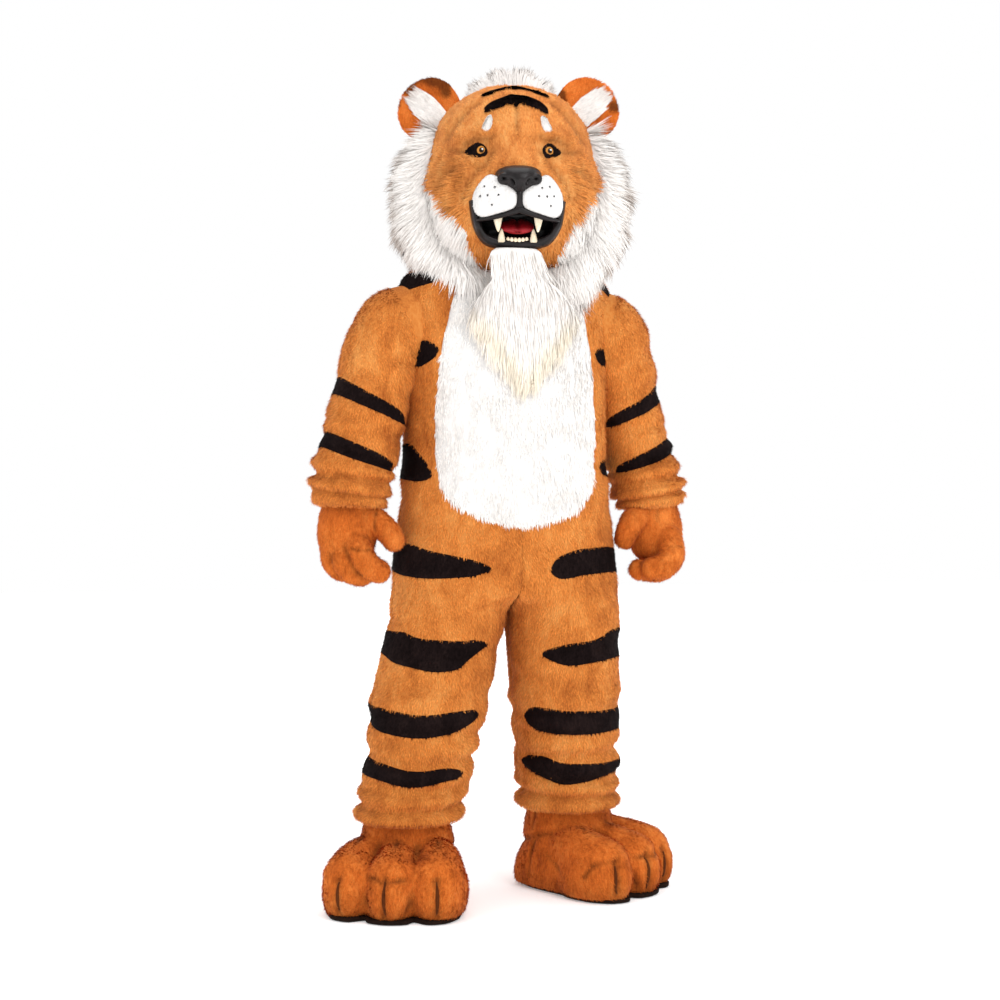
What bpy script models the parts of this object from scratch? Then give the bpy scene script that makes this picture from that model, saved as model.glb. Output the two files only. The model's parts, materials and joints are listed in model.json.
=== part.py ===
"""Tiger mascot costume: a one-piece plush suit, a padded head, two mitts and two foot covers.

Metres, +Z up. x points to the wearer's left, the front faces -Y. The origin is on the
wearer's shoulder line; FLOOR is how far below it the soles stand.
Heights in the tables are heights above the floor.
"""

import math

import bmesh
import bpy
import numpy as np
from mathutils import Matrix, Vector

FLOOR = -1.46
PLUSH = 0.003      # plush cloth with its pile
SEAM = 0.0003      # room left between sewn pieces
STRIPE = 0.003     # a stripe's cloth and pile
RIGHT, LEFT = -1, 1

# ------------------------------------------------------------------ scene
for old in list(bpy.data.objects):
    bpy.data.objects.remove(old, do_unlink=True)

COSTUME = bpy.data.collections.new("tiger_mascot_costume")
CUTTERS = bpy.data.collections.new("cutters")
bpy.context.scene.collection.children.link(COSTUME)
bpy.context.scene.collection.children.link(CUTTERS)

COLOURS = {
    "plush_orange": ((0.69, 0.26, 0.075), 0.95),
    "plush_rust": ((0.53, 0.17, 0.04), 0.95),
    "plush_dark": ((0.017, 0.010, 0.010), 0.95),
    "plush_white": ((0.88, 0.87, 0.85), 0.95),
    "fur_white": ((0.84, 0.81, 0.78), 0.95),
    "satin_black": ((0.03, 0.025, 0.028), 0.35),
    "felt_red": ((0.38, 0.010, 0.018), 0.6),
    "felt_cream": ((0.87, 0.74, 0.54), 0.5),
    "eye_amber": ((0.55, 0.20, 0.02), 0.15),
    "sole_brown": ((0.045, 0.020, 0.012), 0.7),
}


def material(name, slot):
    colour, rough = COLOURS[slot]
    made = bpy.data.materials.new(name)
    made.use_nodes = True
    shader = made.node_tree.nodes["Principled BSDF"]
    shader.inputs["Base Color"].default_value = (*colour, 1.0)
    shader.inputs["Roughness"].default_value = rough
    shader.inputs["Metallic"].default_value = 0.0
    made.diffuse_color = (*colour, 1.0)
    return made


SLOT_OF = {}


def add(name, mesh, slot=None, smooth=True):
    obj = bpy.data.objects.new(name, mesh)
    if slot is None:
        CUTTERS.objects.link(obj)
        obj.hide_render = True
        obj.display_type = "WIRE"
    else:
        COSTUME.objects.link(obj)
        SLOT_OF[name] = slot
    if smooth:
        for face in mesh.polygons:
            face.use_smooth = True
    return obj


def boolean(obj, other, operation="DIFFERENCE"):
    step = obj.modifiers.new(operation.lower() + "_" + other.name, "BOOLEAN")
    step.operation = operation
    step.solver = "EXACT"
    step.object = other


def settle(obj):
    """Turn the modifiers into the mesh itself, so that it can be a cutter or be cleaned."""
    graph = bpy.context.evaluated_depsgraph_get()
    graph.update()
    mesh = bpy.data.meshes.new_from_object(obj.evaluated_get(graph))
    obj.modifiers.clear()
    obj.data = mesh


# ------------------------------------------------------------------ tables
class Table:
    """Rows with named columns; a column is read at any value of the first one."""

    def __init__(self, names, *rows):
        self.names = names.split()
        self.rows = np.array(sorted(rows), float)

    def __call__(self, name, at):
        x = self.rows[:, 0]
        y = self.rows[:, self.names.index(name)]
        h = np.diff(x)
        d = np.diff(y) / h
        slope = np.zeros(len(x))
        slope[0], slope[-1] = d[0], d[-1]
        for k in range(1, len(x) - 1):
            if d[k - 1] * d[k] > 0:
                slope[k] = 2 * d[k - 1] * d[k] / (d[k - 1] + d[k])
        at = float(np.clip(at, x[0], x[-1]))
        k = int(np.clip(np.searchsorted(x, at) - 1, 0, len(x) - 2))
        t = (at - x[k]) / h[k]
        return float(
            (2 * t**3 - 3 * t**2 + 1) * y[k] + (t**3 - 2 * t**2 + t) * h[k] * slope[k]
            + (3 * t**2 - 2 * t**3) * y[k + 1] + (t**3 - t**2) * h[k] * slope[k + 1])


# ------------------------------------------------------------------ forms
class Form:
    """A faceted surface: points[row, column] with the outward direction at each."""

    def __init__(self, shape, rows, columns):
        self.points = np.array([[shape(c, r) for c in columns] for r in rows])
        step = 1e-4
        away = np.array([[np.cross(np.subtract(shape(c + step, r), shape(c - step, r)),
                                   np.subtract(shape(c, r + step), shape(c, r - step)))
                          for c in columns] for r in rows])
        self.away = away / np.linalg.norm(away, axis=2, keepdims=True)
        self.rows, self.columns = rows, columns

    def at(self, p, q, height):
        """Point over the facets at column p and row q, moved out by height."""
        r, c = self.points.shape[:2]
        j = int(min(max(math.floor(p + 1e-9), 0), c - 2))
        i = int(min(max(math.floor(q + 1e-9), 0), r - 2))
        u, v = p - j, q - i
        g = self.points + self.away * height if height else self.points
        a, b, d, e = g[i, j], g[i, j + 1], g[i + 1, j], g[i + 1, j + 1]
        if u >= v:
            return a + (b - a) * u + (e - b) * v
        return a + (d - a) * v + (e - d) * u

    def column_of(self, value):
        return float(np.interp(value, self.columns, range(len(self.columns))))

    def row_of(self, value):
        rows = np.array(self.rows, float)
        index = np.arange(len(rows))
        if rows[0] > rows[-1]:
            rows, index = rows[::-1], index[::-1]
        return float(np.interp(value, rows, index))


def trapezoids(bands):
    """Corners of the pieces between each two rows (p, low q, high q) of a band."""
    return [[(a[0], a[1]), (b[0], b[1]), (b[0], b[2]), (a[0], a[2])]
            for a, b in zip(bands, bands[1:])]


def flat_region(form, corners_list):
    """The facets under a union of convex corners, cut along the corners' edges."""
    whole = bmesh.new()
    rows, columns = form.points.shape[:2]
    for corners in corners_list:
        p = [c[0] for c in corners]
        q = [c[1] for c in corners]
        part = bmesh.new()
        points = {}

        def point(j, i):
            if (j, i) not in points:
                points[j, i] = part.verts.new((j, i, 0))
            return points[j, i]

        for j in range(max(0, math.floor(min(p))), min(columns - 1, math.ceil(max(p)))):
            for i in range(max(0, math.floor(min(q))), min(rows - 1, math.ceil(max(q)))):
                part.faces.new((point(j, i), point(j + 1, i), point(j + 1, i + 1)))
                part.faces.new((point(j, i), point(j + 1, i + 1), point(j, i + 1)))
        middle = (sum(p) / len(p), sum(q) / len(q))
        for a, b in zip(corners, corners[1:] + corners[:1]):
            side = Vector((b[1] - a[1], a[0] - b[0], 0))
            if side.length < 1e-9:
                continue
            inward = side.x * (middle[0] - a[0]) + side.y * (middle[1] - a[1])
            if inward > 0:
                side = -side
            bmesh.ops.bisect_plane(
                part, geom=part.verts[:] + part.edges[:] + part.faces[:], dist=1e-6,
                plane_co=(a[0], a[1], 0), plane_no=side, clear_outer=True)
        copies = {v: whole.verts.new(v.co) for v in part.verts}
        for face in part.faces:
            whole.faces.new([copies[v] for v in face.verts])
        part.free()
    bmesh.ops.remove_doubles(whole, verts=whole.verts[:], dist=2e-4)
    return whole


def laid(name, form, corners_list, low, high, slot, smooth=True):
    """A closed piece over a region of a form, between two heights above its facets.

    high may be a function of (p, q), for a piece that thins out.
    """
    flat = flat_region(form, corners_list)
    bmesh.ops.triangulate(flat, faces=flat.faces[:])
    high_at = high if callable(high) else (lambda p, q: high)
    top, bottom = {}, {}
    made = bmesh.new()
    for v in flat.verts:
        p, q = v.co.x, v.co.y
        top[v] = made.verts.new(form.at(p, q, high_at(p, q)))
        bottom[v] = made.verts.new(form.at(p, q, low))
    for face in flat.faces:
        made.faces.new([top[v] for v in face.verts])
        made.faces.new([bottom[v] for v in reversed(face.verts)])
    for edge in flat.edges:
        if len(edge.link_faces) == 1:
            a, b = edge.verts
            loop = [l for l in edge.link_faces[0].loops if l.edge == edge][0]
            if loop.vert != a:
                a, b = b, a
            made.faces.new((top[b], top[a], bottom[a], bottom[b]))
    flat.free()
    bmesh.ops.recalc_face_normals(made, faces=made.faces[:])
    bmesh.ops.triangulate(made, faces=made.faces[:])
    if sum(f.calc_area() * f.normal.dot(f.calc_center_median()) for f in made.faces) < 0:
        bmesh.ops.reverse_faces(made, faces=made.faces[:])
    mesh = bpy.data.meshes.new(name)
    made.to_mesh(mesh)
    made.free()
    return add(name, mesh, slot, smooth)


def loft(name, rings, slot=None, hollow=None, closed_start=True, closed_end=True):
    """Closed body through rings of equal count.

    With hollow, a list of inner rings, the body is a wall whose open ends are rims;
    an end that is closed is capped on the outer and the inner skin.
    """
    points, faces = [], []

    def skin(rings, flip, start, end):
        first = len(points)
        n = len(rings[0])
        for ring in rings:
            points.extend([tuple(p) for p in ring])
        made = []
        for i in range(len(rings) - 1):
            for j in range(n):
                a, b = first + i * n + j, first + i * n + (j + 1) % n
                d, e = a + n, b + n
                made += [(a, b, e), (a, e, d)]
        for closed, ring, turn in ((start, 0, True), (end, len(rings) - 1, False)):
            if closed:
                points.append(tuple(np.mean(rings[ring], axis=0)))
                k, base = len(points) - 1, first + ring * n
                for j in range(n):
                    a, b = base + j, base + (j + 1) % n
                    made.append((b, a, k) if turn else (a, b, k))
        faces.extend([f[::-1] if flip else f for f in made])
        return first

    n = len(rings[0])
    if hollow is None:
        skin(rings, False, True, True)
    else:
        outer = skin(rings, False, closed_start, closed_end)
        inner = skin(hollow, True, closed_start, closed_end)
        for closed, i, k, turn in ((closed_start, 0, 0, False),
                                   (closed_end, len(rings) - 1, len(hollow) - 1, True)):
            if closed:
                continue
            for j in range(n):
                a, b = outer + i * n + j, outer + i * n + (j + 1) % n
                c, d = inner + k * n + j, inner + k * n + (j + 1) % n
                quad = (a, c, d, b) if not turn else (a, b, d, c)
                faces.append(quad)
    mesh = bpy.data.meshes.new(name)
    mesh.from_pydata(points, [], faces)
    clean = bmesh.new()
    clean.from_mesh(mesh)
    bmesh.ops.recalc_face_normals(clean, faces=clean.faces[:])
    bmesh.ops.triangulate(clean, faces=clean.faces[:])
    clean.to_mesh(mesh)
    clean.free()
    return add(name, mesh, slot)


def blob(name, centre, radii, slot=None, turn=(0, 0, 0), grow=0.0, cuts=(16, 10)):
    """An ellipsoid, turned by degrees about x, y and z."""
    made = bmesh.new()
    bmesh.ops.create_uvsphere(made, u_segments=cuts[0], v_segments=cuts[1], radius=1.0)
    scale = Matrix.Diagonal((*[r + grow for r in radii], 1.0))
    spin = Matrix.Identity(4)
    for angle, axis in zip(turn, "XYZ"):
        spin = Matrix.Rotation(math.radians(angle), 4, axis) @ spin
    made.transform(Matrix.Translation(Vector(centre)) @ spin @ scale)
    bmesh.ops.triangulate(made, faces=made.faces[:])
    mesh = bpy.data.meshes.new(name)
    made.to_mesh(mesh)
    made.free()
    return add(name, mesh, slot)


def box(name, low, high):
    made = bmesh.new()
    bmesh.ops.create_cube(made, size=1.0)
    low, high = Vector(low), Vector(high)
    made.transform(Matrix.Translation((low + high) / 2) @ Matrix.Diagonal((*(high - low), 1.0)))
    mesh = bpy.data.meshes.new(name)
    made.to_mesh(mesh)
    made.free()
    return add(name, mesh, None, smooth=False)


# ------------------------------------------------------------------ suit body
# z, half width from the middle, depth of the front and of the back, y of the side seam,
# spread: 90 where one ring goes round both halves, 180 where each leg has its own
TORSO = Table("z width front back y spread",
              (1.545, 0.098, 0.080, 0.080, 0.012, 90),
              (1.520, 0.135, 0.095, 0.095, 0.012, 90),
              (1.485, 0.200, 0.113, 0.115, 0.010, 90),
              (1.445, 0.246, 0.130, 0.130, 0.008, 90),
              (1.390, 0.262, 0.142, 0.140, 0.004, 90),
              (1.310, 0.256, 0.152, 0.145, 0.000, 90),
              (1.200, 0.245, 0.158, 0.145, 0.000, 90),
              (1.060, 0.243, 0.160, 0.145, 0.000, 90),
              (0.930, 0.250, 0.163, 0.155, 0.000, 90),
              (0.820, 0.264, 0.165, 0.165, 0.000, 90),
              (0.750, 0.270, 0.162, 0.163, 0.000, 96),
              (0.715, 0.272, 0.158, 0.160, 0.000, 118),
              (0.690, 0.272, 0.153, 0.156, 0.000, 150),
              (0.660, 0.273, 0.148, 0.150, 0.000, 180))

# each leg's own rings below the fork: centre, half width, half depth
LEG = {
    RIGHT: Table("z x y wide deep",
                 (0.660, 0.1375, 0.000, 0.1345, 0.149),
                 (0.600, 0.154, -0.006, 0.1345, 0.146),
                 (0.530, 0.172, -0.020, 0.1345, 0.143),
                 (0.464, 0.190, -0.034, 0.1345, 0.141),
                 (0.400, 0.202, -0.039, 0.128, 0.136),
                 (0.340, 0.212, -0.040, 0.121, 0.130),
                 (0.300, 0.219, -0.040, 0.124, 0.131),
                 (0.262, 0.228, -0.041, 0.117, 0.125),
                 (0.222, 0.238, -0.042, 0.122, 0.128),
                 (0.184, 0.244, -0.042, 0.106, 0.112)),
    LEFT: Table("z x y wide deep",
                (0.660, 0.1375, 0.000, 0.1345, 0.149),
                (0.600, 0.139, -0.004, 0.1330, 0.146),
                (0.530, 0.141, -0.008, 0.1310, 0.143),
                (0.464, 0.144, -0.006, 0.1290, 0.140),
                (0.400, 0.149, 0.004, 0.125, 0.135),
                (0.340, 0.155, 0.020, 0.119, 0.129),
                (0.300, 0.159, 0.030, 0.124, 0.131),
                (0.262, 0.163, 0.038, 0.116, 0.124),
                (0.222, 0.167, 0.045, 0.121, 0.127),
                (0.184, 0.171, 0.050, 0.107, 0.112)),
}


def suit(side):
    """Half of the suit: column -1 is the centre front or inseam, 0 the side seam, 1 the back."""
    def shape(c, z):
        spread = math.radians(min(180.0, TORSO("spread", z)))
        turn = c * spread
        if z >= 0.66:
            wide = TORSO("width", z) / (1 - math.cos(spread))
            deep = TORSO("front" if turn < 0 else "back", z)
            x = -wide * math.cos(spread) + wide * math.cos(turn)
            y = TORSO("y", z) + deep * math.sin(turn)
            x += 0.0025 * max(0.0, math.degrees(spread) - 90) / 90
        else:
            leg = LEG[side]
            x = leg("x", z) + leg("wide", z) * math.cos(turn)
            y = leg("y", z) + leg("deep", z) * math.sin(turn)
        return np.array([side * x, y, z + FLOOR])
    return shape


def outward(form, inside):
    """Turn the form's directions to point away from the inside."""
    middle = form.points.mean(axis=1, keepdims=True) if inside is None else inside
    if np.sum(form.away * (form.points - middle)) < 0:
        form.away = -form.away
    return form


SUIT_ROWS = [1.545, 1.520, 1.485, 1.445, 1.390, 1.310, 1.200, 1.060, 0.930,
             0.820, 0.750, 0.715, 0.690, 0.660, 0.600, 0.530, 0.464, 0.400, 0.340,
             0.300, 0.262, 0.222, 0.184]
HALF = 6           # columns from the centre front to the side seam
SUIT_COLUMNS = [k / HALF for k in range(-HALF, HALF + 1)]
SUIT = {}
for side in (RIGHT, LEFT):
    made = Form(suit(side), SUIT_ROWS, SUIT_COLUMNS)
    # every direction points away from the ring's own middle
    for i, z in enumerate(SUIT_ROWS):
        spread = math.radians(min(180.0, TORSO("spread", z)))
        x = -TORSO("width", z) / (1 - math.cos(spread)) * math.cos(spread) if z >= 0.66 else LEG[side]("x", z)
        middle = np.array([side * max(0.0, x), 0.0, z + FLOOR])
        for j in range(len(SUIT_COLUMNS)):
            if np.dot(made.away[i, j], made.points[i, j] - middle) < 0:
                made.away[i, j] *= -1
    SUIT[side] = made

BOTTOM = len(SUIT_ROWS) - 1.0
GAP = 0.010   # a seam's room, in columns

def column(sixteenths):
    """A column from sixteenths of the way round: 0 centre front, 8 side seam, 16 centre back."""
    return sixteenths * HALF / 8


# the belly panel: half width (in sixteenths from the centre front) at each height
BELLY = Table("z half",
              (1.400, 3.05), (1.350, 3.40), (1.283, 3.90), (1.200, 4.30), (1.120, 4.55), (1.040, 4.50),
              (0.985, 4.30), (0.950, 3.95), (0.925, 3.40), (0.903, 2.60), (0.886, 1.65), (0.872, 0.60))
BELLY_TOP, BELLY_BOTTOM = 1.400, 0.872


def front_regions(form):
    """A front panel without the belly: bands between rows of (q, first column, last column)."""
    edge = HALF - GAP
    top, bottom = form.row_of(BELLY_TOP), form.row_of(BELLY_BOTTOM)
    q = [0.0, top - 0.02] + [form.row_of(z) for z in BELLY.rows[::-1, 0]] + [bottom + 0.02, BOTTOM]
    pieces = [[(GAP, 0.0), (edge, 0.0), (edge, top - 0.02), (GAP, top - 0.02)]]
    rows = [(form.row_of(z), column(BELLY("half", z)) + 0.03) for z in BELLY.rows[::-1, 0]]
    rows[0] = (top - 0.02, rows[0][1])
    rows[-1] = (bottom + 0.02, rows[-1][1])
    for (qa, ha), (qb, hb) in zip(rows, rows[1:]):
        pieces.append([(ha, qa), (edge, qa), (edge, qb), (hb, qb)])
    # keep the shared corner of the last band whole
    pieces.append([(rows[-1][1], bottom + 0.02), (edge, bottom + 0.02), (edge, BOTTOM), (rows[-1][1], BOTTOM)])
    pieces.append([(GAP, bottom + 0.02), (rows[-1][1], bottom + 0.02), (rows[-1][1], BOTTOM), (GAP, BOTTOM)])
    pieces[0] = [(rows[0][1], 0.0), (edge, 0.0), (edge, top - 0.02), (rows[0][1], top - 0.02)]
    pieces.append([(GAP, 0.0), (rows[0][1], 0.0), (rows[0][1], top - 0.02), (GAP, top - 0.02)])
    return pieces


# ------------------------------------------------------------------ sleeves
# along 0..1 from the armhole to the cuff: centre, tilt of the way it runs (0 = straight out
# to the side, 90 = straight down), half width across the arm, half depth
SLEEVE = {
    RIGHT: Table("along x y z tilt across deep",
                 (0.00, 0.205, 0.004, 1.342, 12, 0.098, 0.088),
                 (0.09, 0.262, 0.002, 1.322, 30, 0.101, 0.093),
                 (0.18, 0.288, -0.003, 1.283, 54, 0.095, 0.093),
                 (0.29, 0.309, -0.013, 1.225, 72, 0.090, 0.093),
                 (0.42, 0.328, -0.026, 1.155, 77, 0.087, 0.093),
                 (0.55, 0.344, -0.038, 1.095, 77, 0.089, 0.093),
                 (0.66, 0.356, -0.044, 1.043, 76, 0.088, 0.091),
                 (0.77, 0.371, -0.045, 0.998, 77, 0.089, 0.088),
                 (0.88, 0.378, -0.041, 0.952, 83, 0.089, 0.086),
                 (1.00, 0.379, -0.035, 0.912, 88, 0.076, 0.072)),
    LEFT: Table("along x y z tilt across deep",
                (0.00, 0.200, 0.006, 1.342, 12, 0.098, 0.088),
                (0.09, 0.252, 0.010, 1.322, 30, 0.101, 0.093),
                (0.18, 0.276, 0.018, 1.283, 56, 0.094, 0.093),
                (0.29, 0.294, 0.030, 1.225, 73, 0.086, 0.092),
                (0.42, 0.312, 0.040, 1.155, 76, 0.080, 0.091),
                (0.55, 0.329, 0.046, 1.095, 76, 0.079, 0.091),
                (0.66, 0.343, 0.046, 1.043, 75, 0.081, 0.090),
                (0.77, 0.358, 0.041, 0.998, 76, 0.083, 0.088),
                (0.88, 0.368, 0.031, 0.952, 80, 0.086, 0.086),
                (1.00, 0.374, 0.021, 0.912, 84, 0.074, 0.072)),
}


def sleeve(side):
    """Columns go round the arm from 0 to 1: 0 inner, 0.25 front, 0.5 outer, 0.75 back."""
    table = SLEEVE[side]

    def shape(c, along):
        tilt = math.radians(table("tilt", along))
        turn = 2 * math.pi * c
        across = -math.cos(turn) * table("across", along)
        return np.array([
            side * (table("x", along) + across * math.sin(tilt)),
            table("y", along) - math.sin(turn) * table("deep", along),
            table("z", along) + across * math.cos(tilt) + FLOOR])
    return shape


SLEEVE_ROWS = [0.0, 0.09, 0.18, 0.29, 0.42, 0.55, 0.66, 0.77, 0.88, 1.0]
SLEEVE_COLUMNS = [k / 12 for k in range(13)]


def rings_of(form, height=0.0):
    return [list((form.points[i] + form.away[i] * height)[:-1]) for i in range(len(form.points))]


ARM = {}
for side in (RIGHT, LEFT):
    made = Form(sleeve(side), SLEEVE_ROWS, SLEEVE_COLUMNS)
    ARM[side] = outward(made, None)

names = {RIGHT: "right", LEFT: "left"}

for side in (RIGHT, LEFT):
    word = names[side]
    loft("sleeve_" + word, rings_of(ARM[side]), "plush_orange",
         hollow=rings_of(ARM[side], -PLUSH), closed_start=False, closed_end=False)
    hole = rings_of(ARM[side], 0.0006)
    start = np.array(hole[0]) + np.array([-side * 0.09, 0, 0.02])
    loft("armhole_" + word, [list(start)] + hole[:6])

for side in (RIGHT, LEFT):
    word = names[side]
    form = SUIT[side]
    front = laid("suit_front_" + word, form, front_regions(form), -PLUSH, 0.0, "plush_orange")
    back = laid("suit_back_" + word, form,
                [[(HALF + GAP, 0.0), (2 * HALF - GAP, 0.0), (2 * HALF - GAP, BOTTOM), (HALF + GAP, BOTTOM)]],
                -PLUSH, 0.0, "plush_orange")
    for panel in (front, back):
        boolean(panel, bpy.data.objects["armhole_" + word])

# the belly crosses the middle, so its form joins the two fronts
both = Form(suit(RIGHT), SUIT_ROWS[:11], SUIT_COLUMNS[:HALF + 1])
both.points = np.concatenate([SUIT[RIGHT].points[:11, HALF:0:-1], SUIT[LEFT].points[:11, 0:HALF + 1]], axis=1)
both.away = np.concatenate([SUIT[RIGHT].away[:11, HALF:0:-1], SUIT[LEFT].away[:11, 0:HALF + 1]], axis=1)
both.away[:, HALF, 0] = 0.0
belly_rows = [(both.row_of(z), column(BELLY("half", z))) for z in BELLY.rows[::-1, 0]]
belly = laid("belly", both,
             [[(HALF - ha, qa), (HALF + ha, qa), (HALF + hb, qb), (HALF - hb, qb)]
              for (qa, ha), (qb, hb) in zip(belly_rows, belly_rows[1:])],
             -PLUSH, 0.003, "plush_white")


# ------------------------------------------------------------------ stripes
# a stripe is a band: sixteenths round the half, z below, z above
def band(form, rows):
    return trapezoids([(column(c), form.row_of(high), form.row_of(low)) for c, low, high in rows])


STRIPES = {
    "hip": {RIGHT: ((1.45, 0.769, 0.777), (2.4, 0.755, 0.793), (4.4, 0.750, 0.813), (6.4, 0.756, 0.829), (8.2, 0.766, 0.818),
                    (11.0, 0.765, 0.806), (13.6, 0.774, 0.786)),
            LEFT: ((1.35, 0.763, 0.775), (1.9, 0.748, 0.799), (3.2, 0.756, 0.817), (5.0, 0.760, 0.820), (8.0, 0.760, 0.812),
                   (11.0, 0.758, 0.803), (13.6, 0.768, 0.780))},
    "thigh": {RIGHT: ((2.5, 0.592, 0.604), (3.6, 0.553, 0.610), (4.6, 0.540, 0.611), (6.2, 0.552, 0.620), (7.8, 0.572, 0.624),
                      (11.0, 0.578, 0.618), (14.0, 0.588, 0.602)),
              LEFT: ((2.45, 0.566, 0.582), (3.5, 0.548, 0.597), (4.8, 0.554, 0.608), (6.0, 0.560, 0.628), (8.5, 0.562, 0.630),
                     (12.0, 0.562, 0.616), (15.0, 0.576, 0.592))},
    "knee": {RIGHT: ((2.1, 0.434, 0.446), (3.0, 0.405, 0.452), (4.8, 0.394, 0.445), (6.6, 0.402, 0.455), (8.4, 0.418, 0.458),
                     (11.0, 0.424, 0.455), (13.8, 0.436, 0.446)),
             LEFT: ((1.3, 0.416, 0.436), (2.0, 0.392, 0.450), (3.6, 0.385, 0.440), (5.6, 0.387, 0.438), (8.0, 0.390, 0.440),
                    (12.0, 0.396, 0.436), (14.6, 0.410, 0.424))},
    "shin": {RIGHT: ((2.3, 0.303, 0.315), (3.2, 0.296, 0.323), (4.6, 0.283, 0.319), (6.6, 0.296, 0.332), (8.2, 0.300, 0.338),
                     (11.0, 0.302, 0.334), (14.0, 0.312, 0.322)),
             LEFT: ((0.95, 0.308, 0.326), (1.9, 0.279, 0.328), (3.1, 0.263, 0.315), (4.4, 0.268, 0.313), (5.6, 0.280, 0.312),
                    (9.0, 0.284, 0.311), (13.4, 0.292, 0.303))},
    "waist": {RIGHT: ((4.85, 0.980, 1.000), (5.6, 0.973, 1.030), (6.6, 0.975, 1.060), (8.0, 0.980, 1.062), (10.6, 0.987, 1.056),
                      (13.0, 1.010, 1.026)),
              LEFT: ((5.2, 0.996, 1.012), (5.8, 0.986, 1.024), (8.0, 0.985, 1.030), (10.6, 0.988, 1.036), (13.0, 1.006, 1.022))},
    "chest": {RIGHT: ((4.25, 1.266, 1.282), (4.7, 1.251, 1.293), (5.2, 1.242, 1.297), (5.7, 1.237, 1.291)),
              LEFT: ((4.5, 1.262, 1.278), (5.0, 1.251, 1.286), (5.7, 1.246, 1.286))},
    "shoulder": {RIGHT: ((4.3, 1.432, 1.448), (4.9, 1.427, 1.473), (5.6, 1.434, 1.474), (7.0, 1.448, 1.477), (9.0, 1.450, 1.478),
                         (11.4, 1.462, 1.472)),
                 LEFT: ((4.5, 1.434, 1.450), (5.0, 1.430, 1.463), (5.8, 1.436, 1.462), (7.0, 1.448, 1.469), (9.0, 1.450, 1.472),
                        (11.4, 1.460, 1.468))},
}
for place, sides in STRIPES.items():
    for side, rows in sides.items():
        stripe = laid("stripe_%s_%s" % (place, names[side]), SUIT[side], band(SUIT[side], rows),
                      SEAM, SEAM + STRIPE, "plush_dark")
        if place in ("chest", "shoulder"):
            boolean(stripe, bpy.data.objects["armhole_" + names[side]])

# sleeve stripes: column of 12 round the arm (0 inner, 3 front, 6 outer), along low, along high
SLEEVE_STRIPES = {
    "upper": ((0.9, 0.520, 0.560), (3.0, 0.430, 0.495), (6.0, 0.360, 0.430), (9.0, 0.400, 0.470), (11.1, 0.480, 0.510)),
    "lower": ((0.9, 0.690, 0.730), (3.0, 0.650, 0.725), (6.0, 0.610, 0.690), (9.0, 0.640, 0.705), (11.1, 0.690, 0.720)),
}
for place, rows in SLEEVE_STRIPES.items():
    for side in (RIGHT, LEFT):
        laid("stripe_%s_sleeve_%s" % (place, names[side]), ARM[side],
             trapezoids([(c, ARM[side].row_of(a), ARM[side].row_of(b)) for c, a, b in rows]),
             SEAM, SEAM + STRIPE, "plush_dark")

# ------------------------------------------------------------------ mitts
# the cup of the mitt, from the wrist down: centre, half width, half depth
for side, x0, y0, tip in ((RIGHT, 0.379, -0.035, 0.0), (LEFT, 0.374, 0.021, 0.008)):
    word = names[side]
    PALM = Table("z x y wide deep",
                 (0.919, x0, y0, 0.0560, 0.0520),
                 (0.895, x0 + 0.002, y0 - 0.002, 0.066, 0.056),
                 (0.860, x0 + 0.004, y0 - 0.006, 0.070, 0.056),
                 (0.825, x0 + 0.006, y0 - 0.010, 0.066, 0.052),
                 (0.795, x0 + 0.004, y0 - 0.014, 0.056, 0.045),
                 (0.775, x0 + 0.000, y0 - 0.018, 0.036, 0.032))

    def palm(c, z, table=PALM):
        turn = 2 * math.pi * c
        return np.array([side * (table("x", z) - table("wide", z) * math.cos(turn)),
                         table("y", z) - table("deep", z) * math.sin(turn), z + FLOOR])

    hand = outward(Form(palm, [0.919, 0.895, 0.860, 0.825, 0.795, 0.775], [k / 12 for k in range(13)]), None)
    for i in range(6):
        hand.away[i, :, 2] = np.clip(hand.away[i, :, 2], -0.4, 0.3)
    mitt = loft("mitt_" + word, rings_of(hand), "plush_rust")
    # three fingers curled forward and in, and the thumb: root, tip, radius
    fingers = (
        ("index", (x0 - 0.010, y0 - 0.040, 0.820), (x0 - 0.040 + tip, y0 - 0.062, 0.782), 0.027, 0.044),
        ("middle", (x0 + 0.016, y0 - 0.030, 0.812), (x0 - 0.012 + tip, y0 - 0.050, 0.768), 0.027, 0.046),
        ("little", (x0 + 0.034, y0 - 0.010, 0.812), (x0 + 0.018 + tip, y0 - 0.024, 0.770), 0.026, 0.042),
        ("thumb", (x0 - 0.050, y0 - 0.030, 0.880), (x0 - 0.092, y0 - 0.052, 0.834), 0.025, 0.046),
    )
    for finger, root, end, radius, half in fingers:
        root = np.array([side * root[0], root[1], root[2] + FLOOR])
        end = np.array([side * end[0], end[1], end[2] + FLOOR])
        run = Vector(end - root)
        piece = blob("%s_%s" % (finger, word), (0, 0, 0), (radius, radius, half), None, cuts=(9, 6))
        piece.data.transform(Matrix.Translation(Vector((root + end) / 2)) @ run.to_track_quat("Z", "Y").to_matrix().to_4x4())
        boolean(mitt, piece, "UNION")
    hollow = [list(np.array(r)) for r in rings_of(hand, -0.006)[:5]]
    lip = [p + np.array([0, 0, 0.02]) for p in hollow[0]]
    boolean(mitt, loft("mitt_hollow_" + word, [lip] + hollow))

# ------------------------------------------------------------------ foot covers
# along the foot from heel to toes: half width and height of the cover
FOOT = Table("along wide high",
             (0.000, 0.062, 0.060),
             (0.035, 0.098, 0.120),
             (0.100, 0.122, 0.168),
             (0.170, 0.138, 0.160),
             (0.240, 0.150, 0.128),
             (0.300, 0.130, 0.095))
SOLE = 0.016
# ankle centre, and the turn of the foot from straight ahead towards its own side
STAND = {RIGHT: (-0.2445, -0.042, 22.0), LEFT: (0.171, 0.050, 42.0)}
ANKLE_ALONG = 0.115


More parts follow.
